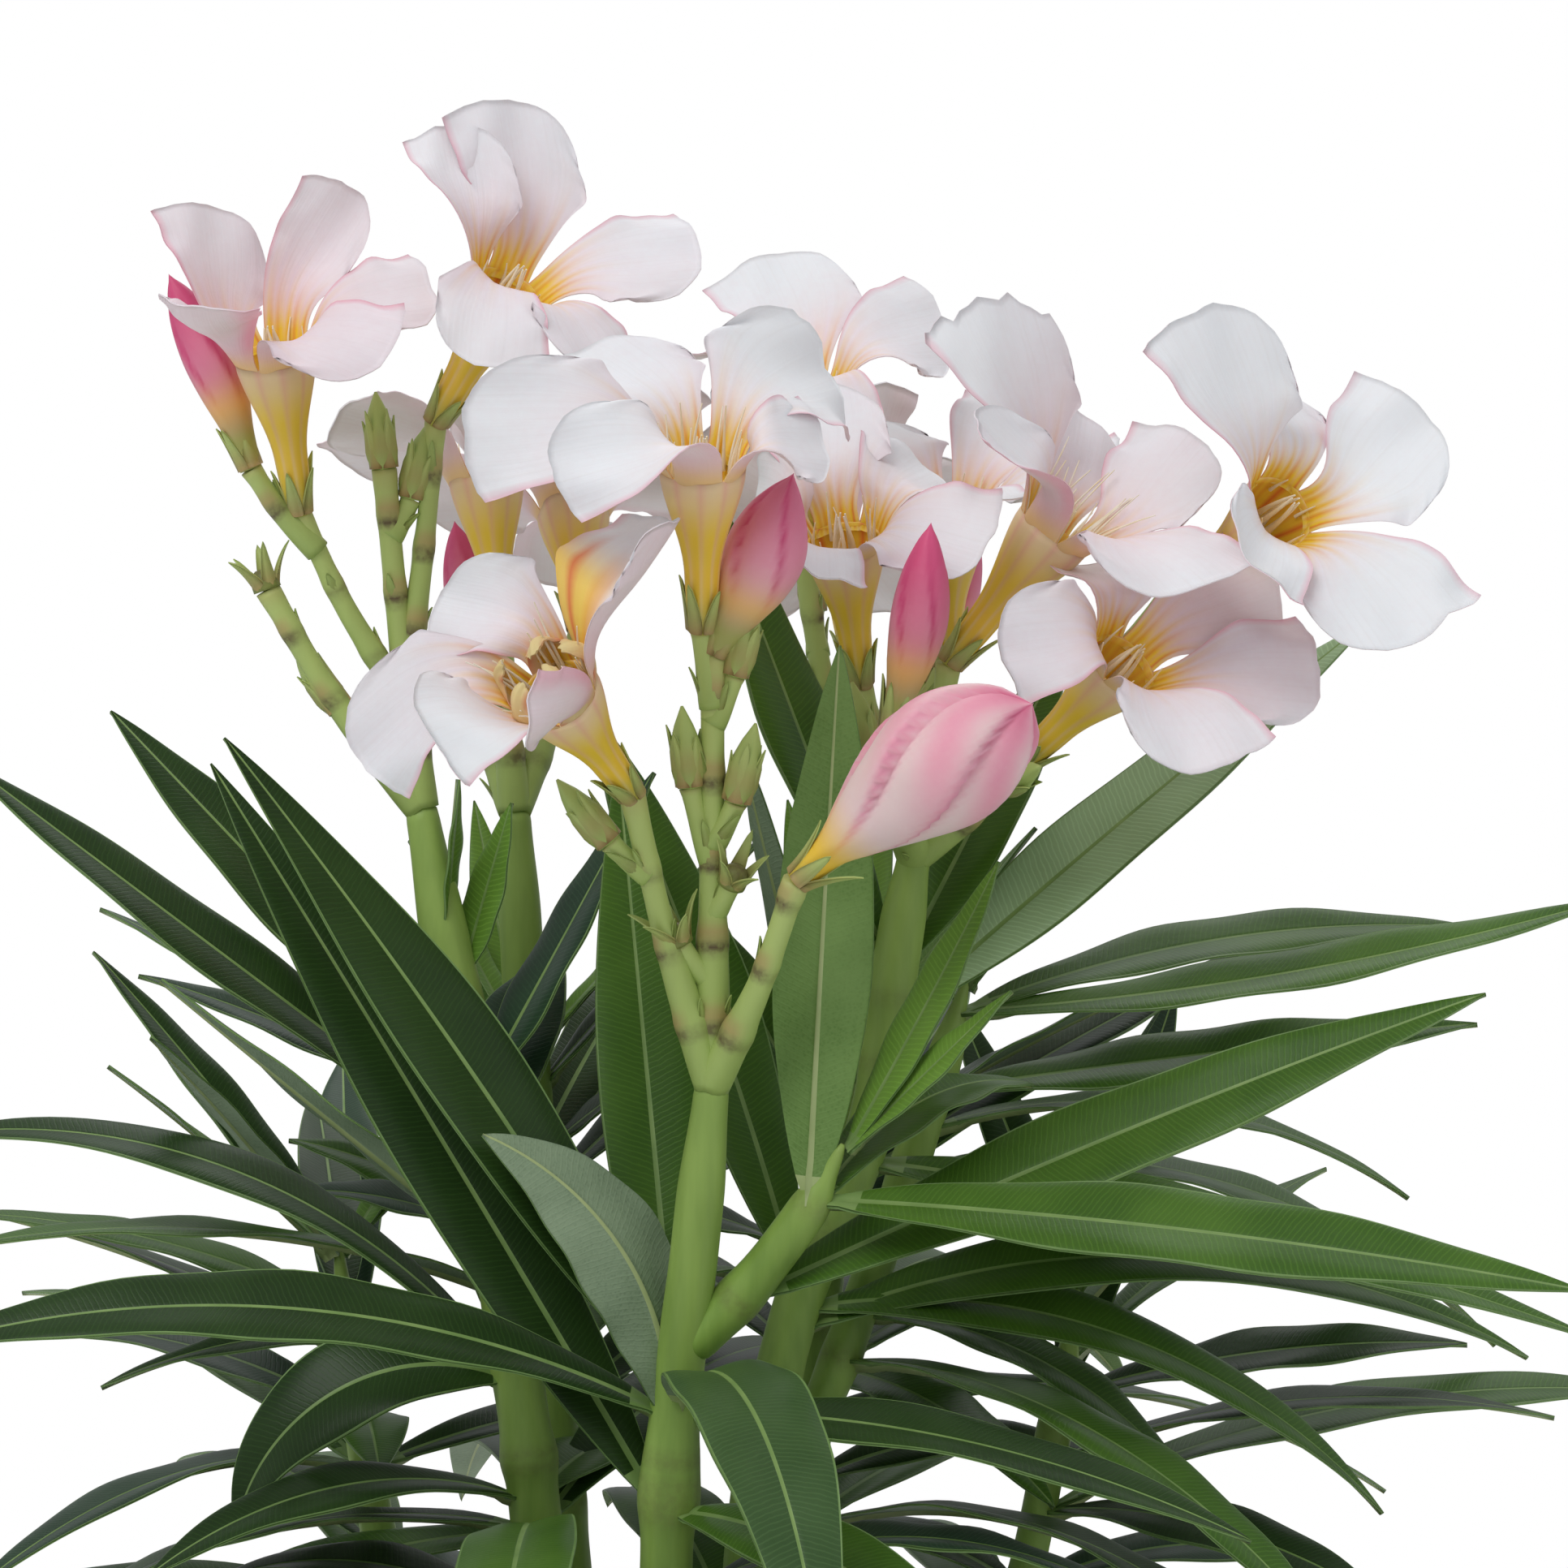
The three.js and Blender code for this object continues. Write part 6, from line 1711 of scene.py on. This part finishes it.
def make_fringe(lines, finish):
    """The threads, swept round their lines by one tree."""
    points = np.vstack([line for line, _ in lines])
    radii = np.concatenate([radius for _, radius in lines])
    edges, start = [], 0
    for line, _ in lines:
        edges += [(start + k, start + k + 1) for k in range(len(line) - 1)]
        start += len(line)
    mesh = bpy.data.meshes.new("threads")
    mesh.from_pydata((points * MM).tolist(), edges, [])
    size = mesh.attributes.new("thickness", "FLOAT", "POINT")
    size.data.foreach_set("value", (radii * MM).astype(np.float32))
    source = bpy.data.objects.new("threads", mesh)
    bpy.context.scene.collection.objects.link(source)
    kinds = {"Thread Finish": "Material", "Sides": "Int", "Thickness Scale": "Float"}
    tree, node = tree_of("sweep_threads", kinds)
    given = node("NodeGroupInput").outputs
    line = node("GeometryNodeMeshToCurve", ("Mesh", given["Geometry"]))
    thickness = node("GeometryNodeInputNamedAttribute", data_type="FLOAT")
    thickness.inputs["Name"].default_value = "thickness"
    sized = node("GeometryNodeSetCurveRadius", (0, line.outputs[0]), ("Radius", thickness.outputs[0]))
    profile = node(
        "GeometryNodeCurvePrimitiveCircle",
        ("Resolution", given["Sides"]), ("Radius", given["Thickness Scale"]),
    )
    swept = node(
        "GeometryNodeCurveToMesh", ("Curve", sized.outputs[0]), ("Profile Curve", profile.outputs[0]),
    )
    swept.inputs["Fill Caps"].default_value = True
    scale_by_radius(swept, thickness)
    real = node("GeometryNodeRealizeInstances", (0, swept.outputs[0]))
    done = node("GeometryNodeSetMaterial", (0, real.outputs[0]), ("Material", given["Thread Finish"]))
    node("NodeGroupOutput", (0, done.outputs[0]))
    values = {"Thread Finish": finish, "Sides": 6, "Thickness Scale": 1.0}
    made = grown_mesh(source, tree, "throat_fringe", values)
    made.data.polygons.foreach_set("use_smooth", np.ones(len(made.data.polygons), bool))
    return made


def scale_by_radius(swept, thickness):
    """Curve to Mesh has a scale of its own in this release, which stands in for the curve's radius."""
    if "Scale" in swept.inputs:
        swept.id_data.links.new(thickness.outputs[0], swept.inputs["Scale"])


def scatter(source, name, finish, seed, density, smallest, largest, proportions):
    """Lumps strewn over a surface and sunk a little in it: crumbs of soil, or pores on the bark. The density
    is per square metre, and the sizes are in millimetres."""
    values = {
        "Lump Finish": finish, "Seed": seed, "Density": density, "Smallest": smallest * MM,
        "Largest": largest * MM, "Proportions": proportions, "Roundness": 1, "Tilt": 0.4,
    }
    kinds = {
        "Lump Finish": "Material", "Seed": "Int", "Density": "Float", "Smallest": "Float",
        "Largest": "Float", "Proportions": "Vector", "Roundness": "Int", "Tilt": "Float",
    }
    tree, node = tree_of(name, kinds)
    given = node("NodeGroupInput").outputs
    spots = node(
        "GeometryNodeDistributePointsOnFaces",
        ("Mesh", given["Geometry"]), ("Density", given["Density"]), ("Seed", given["Seed"]),
    )
    lump = node("GeometryNodeMeshIcoSphere", ("Radius", 1.0), ("Subdivisions", given["Roundness"]))
    shape = node("GeometryNodeTransform", ("Geometry", lump.outputs[0]), ("Scale", given["Proportions"]))
    size = node("FunctionNodeRandomValue", (2, given["Smallest"]), (3, given["Largest"]), data_type="FLOAT")
    placed = node(
        "GeometryNodeInstanceOnPoints",
        ("Points", spots.outputs[0]), ("Instance", shape.outputs[0]),
        ("Rotation", spots.outputs["Rotation"]), ("Scale", size.outputs[1]),
    )
    back = node("ShaderNodeMath", (0, given["Tilt"]), (1, -1.0), operation="MULTIPLY")
    least = node("ShaderNodeCombineXYZ", ("X", back.outputs[0]), ("Y", back.outputs[0]), ("Z", -math.pi))
    most = node("ShaderNodeCombineXYZ", ("X", given["Tilt"]), ("Y", given["Tilt"]), ("Z", math.pi))
    ends = (0, least.outputs[0]), (1, most.outputs[0])
    spin = node("FunctionNodeRandomValue", *ends, data_type="FLOAT_VECTOR")
    spun = node(
        "GeometryNodeRotateInstances", ("Instances", placed.outputs[0]), ("Rotation", spin.outputs[0]),
    )
    real = node("GeometryNodeRealizeInstances", (0, spun.outputs[0]))
    done = node("GeometryNodeSetMaterial", (0, real.outputs[0]), ("Material", given["Lump Finish"]))
    node("NodeGroupOutput", (0, done.outputs[0]))
    return grown_mesh(source, tree, name, values)


def copy_of(made, name):
    """A second object with a mesh of its own."""
    twin = bpy.data.objects.new(name, made.data.copy())
    bpy.context.scene.collection.objects.link(twin)
    return twin


# ---------------------------------------------------------------- pot and soil
def make_pot(finish):
    """The clay pot, turned from its wall's section, with a rolled rim, throwing rings and drain holes."""
    height, rim = POT_HIGH[2], POT_HIGH[0]
    band, wall, floor = 31, 7, 9
    outer_low, outer_high = 66, rim - 5.5
    sides = 144
    holes, hole_radius, from_middle = 3, 6.0, 36

    def outer(z):
        return mix(outer_low, outer_high, z / height)

    def inner(z):
        return outer(z) - wall

    section = [(0.01, 0), (outer_low - 3, 0), (outer_low - 1, 0.7), (outer_low, 2.2)]
    section += [(outer(z) + 0.16 * math.sin(0.9 * z), z) for z in np.linspace(8, height - band - 2, 26)]
    foot = height - band
    section += [(outer(foot) + 0.8, foot + 0.2), (rim - 3, foot + 1.2)]
    section += [(rim - 1.6, foot + 2.4), (rim - 1, foot + 4.5)]
    section += [(rim - 0.9 + 0.12 * math.sin(z), z) for z in np.linspace(foot + 8, height - 6, 8)]
    arc = np.radians(np.linspace(-20, 200, 12))
    middle, half = (rim + inner(height) - 1.5) / 2, (rim - 1 - inner(height)) / 2
    section += [(middle + half * math.cos(a), height - 3.4 + 3.4 * math.sin(a)) for a in arc]
    section += [(inner(z), z) for z in np.linspace(height - 8, floor + 4, 16)]
    section += [(inner(floor) - 1.5, floor + 1), (inner(floor) - 5, floor), (0.01, floor)]
    turn = turns_round(sides)
    radius, z = (column[:, None] for column in np.array(section).T)
    rings = np.stack([radius * np.cos(turn), radius * np.sin(turn), z + 0 * turn], axis=-1)
    stock = Stock()
    add_rings(stock, rings, (0, 0, 0), (0, 0, floor))
    pot = stock.piece("clay_pot", [finish])
    drills = Stock()
    for hole in range(holes):
        turn_at = 2 * math.pi * hole / holes + math.pi / 2
        centre = np.array([from_middle * math.cos(turn_at), from_middle * math.sin(turn_at), 0])
        line = centre + np.linspace(-6, floor + 6, 4)[:, None] * np.array([0, 0, 1.0])
        add_tube(drills, line, np.full((4, 24), hole_radius))
    cutter = drills.piece("drills", [finish])
    cut = pot.modifiers.new("drain_holes", "BOOLEAN")
    cut.operation, cut.solver, cut.object = "DIFFERENCE", "EXACT", cutter
    depsgraph = bpy.context.evaluated_depsgraph_get()
    mesh = bpy.data.meshes.new_from_object(pot.evaluated_get(depsgraph))
    pot.modifiers.clear()
    pot.data = mesh
    bpy.data.objects.remove(cutter)
    return pot


def make_soil(finishes):
    """Potting soil, heaped a little round the stems, with crumbs, chips and grit strewn over it."""
    rows, sides = 44, 120
    r = SOIL_HIGH[0] * np.linspace(0.004, 1, rows) ** 0.8
    turn = turns_round(sides)
    x, y = r[:, None] * np.cos(turn), r[:, None] * np.sin(turn)
    level = SOIL_TOP - 1.6 + 1.3 * ripple(0.16 * x, 0.16 * y, 3) + 0.7 * ripple(0.5 * x, 0.5 * y, 4)
    level = level + 2.2 * np.exp(-((r[:, None] / 26) ** 2)) + 0.5 * ripple(1.3 * x, 1.3 * y, 6)
    upper = np.stack([x, y, level], axis=-1)
    foot = SOIL_LOW[2]
    below = np.stack([0.8 * x[-1:], 0.8 * y[-1:], foot + 0 * x[-1:]], axis=-1)
    rings = np.concatenate([upper, below])
    # The rings run outwards and then down, so a tube's faces are turned over.
    walls, caps = tube_faces(rows + 1, sides)
    walls, caps = np.roll(walls[:, ::-1], 1, axis=1), np.roll(caps[:, ::-1], -1, axis=1)
    middles = np.array([[0, 0, level[0].mean()], [0, 0, foot]])
    stock = Stock()
    stock.add(np.vstack([rings.reshape(-1, 3), middles]), (walls, caps), (0, 0))
    bed = stock.piece("potting_soil", [finishes[0]])
    # What is strewn keeps off the outermost rings.
    sheet = Stock()
    strewn = rows - 3
    sheet.add(upper[:strewn].reshape(-1, 3), (grid_faces(strewn, sides, flip=True),), (0,))
    crumbs = []
    for name, finish, *numbers in [
        ("soil_crumbs", finishes[1], 4, 62000.0, 0.5, 1.9),
        ("soil_chips", finishes[2], 9, 9000.0, 0.9, 2.6),
        ("soil_grit", finishes[3], 14, 5200.0, 0.6, 1.3),
    ]:
        source = sheet.piece(name + "_source", [finish])
        crumbs.append(scatter(source, name, finish, *numbers, (1.0, 0.8, 0.62)))
    return bed, crumbs


# ---------------------------------------------------------------- the whole plant
def dress(piece, slot, *nodes):
    """Tells what a piece rides on and which nodes it stands in for. The slot is not used."""
    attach(piece, "root")
    if nodes:
        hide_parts(*nodes)


def build_plant():
    """Every piece of the plant, its pot and its soil."""
    shoots = [shoot["name"] for shoot in SHOOTS]
    heads = [head["name"] for head in HEADS]
    grown = grow_all()
    bark, green = make_limbs()
    petals, cups, fringe = make_heads(green)

    limbs = bark.piece("bark_limbs", [bark_finish()])
    pore_finish = soil_finish("bark_pores", (0.20, 0.15, 0.10), (0.33, 0.27, 0.19))
    source = copy_of(limbs, "pore_source")
    pores = scatter(source, "bark_pores", pore_finish, 5, 26000.0, 0.35, 0.75, (1.5, 0.8, 0.4))
    dress(limbs, "bark", *[name for name, limb in LIMBS.items() if limb["kind"] != "shoot"])
    dress(pores, "bark")

    rind = rind_finish("green_rind", (0.145, 0.275, 0.034), (0.265, 0.43, 0.076))
    stalks = green.piece("green_shoots", [rind])
    dress(stalks, "foliage", *shoots)
    for piece in make_leaves(grown):
        dress(piece, "foliage", *shoots)

    blossom = [
        petal_finish("petal_face", (0.87, 0.885, 0.915), (0.80, 0.785, 0.785)),
        petal_finish("petal_back", (0.86, 0.86, 0.87), (0.79, 0.74, 0.72)),
        petal_finish("flower_tube", (0.86, 0.80, 0.74), (0.80, 0.72, 0.64)),
    ]
    dress(petals.piece("petals", blossom), "blossom", *heads)
    dress(cups.piece("flower_tubes_and_buds", blossom), "blossom", *heads)
    dress(make_fringe(fringe, thread_finish()), "blossom", *heads)

    dress(make_pot(clay_finish()), "pot", "pot")
    soils = [
        soil_finish("moist_soil", (0.022, 0.014, 0.009), (0.055, 0.036, 0.024)),
        soil_finish("soil_crumb", (0.03, 0.019, 0.012), (0.085, 0.056, 0.036)),
        soil_finish("bark_chip", (0.075, 0.042, 0.023), (0.16, 0.095, 0.055)),
        soil_finish("pale_grit", (0.50, 0.47, 0.42), (0.68, 0.65, 0.60)),
    ]
    bed, crumbs = make_soil(soils)
    dress(bed, "soil", "soil")
    for piece in crumbs:
        dress(piece, "soil")


# ---------------------------------------------------------------- studio
def make_studio():
    """A white ground and background, and three soft lamps."""
    scene = bpy.context.scene
    world = bpy.data.worlds.new("studio")
    scene.world = world
    world.use_nodes = True
    nodes, links = world.node_tree.nodes, world.node_tree.links
    sky, seen = nodes["Background"], nodes.new("ShaderNodeBackground")
    sky.inputs["Color"].default_value = (0.95, 0.97, 1.0, 1)
    sky.inputs["Strength"].default_value = 0.5
    seen.inputs["Color"].default_value = (1, 1, 1, 1)
    seen.inputs["Strength"].default_value = 1.0
    choose, path = nodes.new("ShaderNodeMixShader"), nodes.new("ShaderNodeLightPath")
    links.new(path.outputs["Is Camera Ray"], choose.inputs[0])
    links.new(sky.outputs[0], choose.inputs[1])
    links.new(seen.outputs[0], choose.inputs[2])
    links.new(choose.outputs[0], nodes["World Output"].inputs[0])

    bpy.ops.mesh.primitive_circle_add(vertices=96, radius=0.9, fill_type="NGON", location=(0, 0, -0.0005))
    floor = bpy.context.object
    floor.name = "studio_floor"
    made, shader, _ = new_finish("studio_floor", (0.9, 0.9, 0.9), 0.9, specular_ior_level=0.0)
    shader.inputs["Emission Color"].default_value = (1, 1, 1, 1)
    shader.inputs["Emission Strength"].default_value = 0.35
    floor.data.materials.append(made)

    target = np.array([0.0, 0.0, 0.40])
    for name, azimuth, rise, distance, size, power in [
        ("key", -128, 56, 1.5, 0.8, 9.5),
        ("fill", -40, 30, 1.7, 1.2, 2),
        ("back", 80, 45, 1.6, 1.0, 4),
    ]:
        lamp = bpy.data.lights.new(name, "AREA")
        lamp.energy, lamp.size = power, size
        one = bpy.data.objects.new(name, lamp)
        scene.collection.objects.link(one)
        aim(one, target + distance * towards(azimuth, rise), target)


def aim(one, place, target):
    """Puts a lamp or camera somewhere and turns it to a point, with +Z up in its picture."""
    one.location = Vector(place)
    one.rotation_euler = (Vector(target) - Vector(place)).to_track_quat("-Z", "Y").to_euler()


def make_camera():
    """A long lens a little above the flower heads, close enough that they fill the picture."""
    camera = bpy.data.cameras.new("camera")
    camera.sensor_width = 36
    camera.lens = 92.4
    camera.clip_start = 0.01
    distance, rise = 0.62, 9
    one = bpy.data.objects.new("camera", camera)
    bpy.context.scene.collection.objects.link(one)
    target = np.array([0.015, 0, 0.493])
    aim(one, target - distance * towards(90, -rise), target)
    bpy.context.scene.camera = one
    bpy.context.scene.view_settings.view_transform = "Standard"


make_camera()
make_studio()
build_plant()
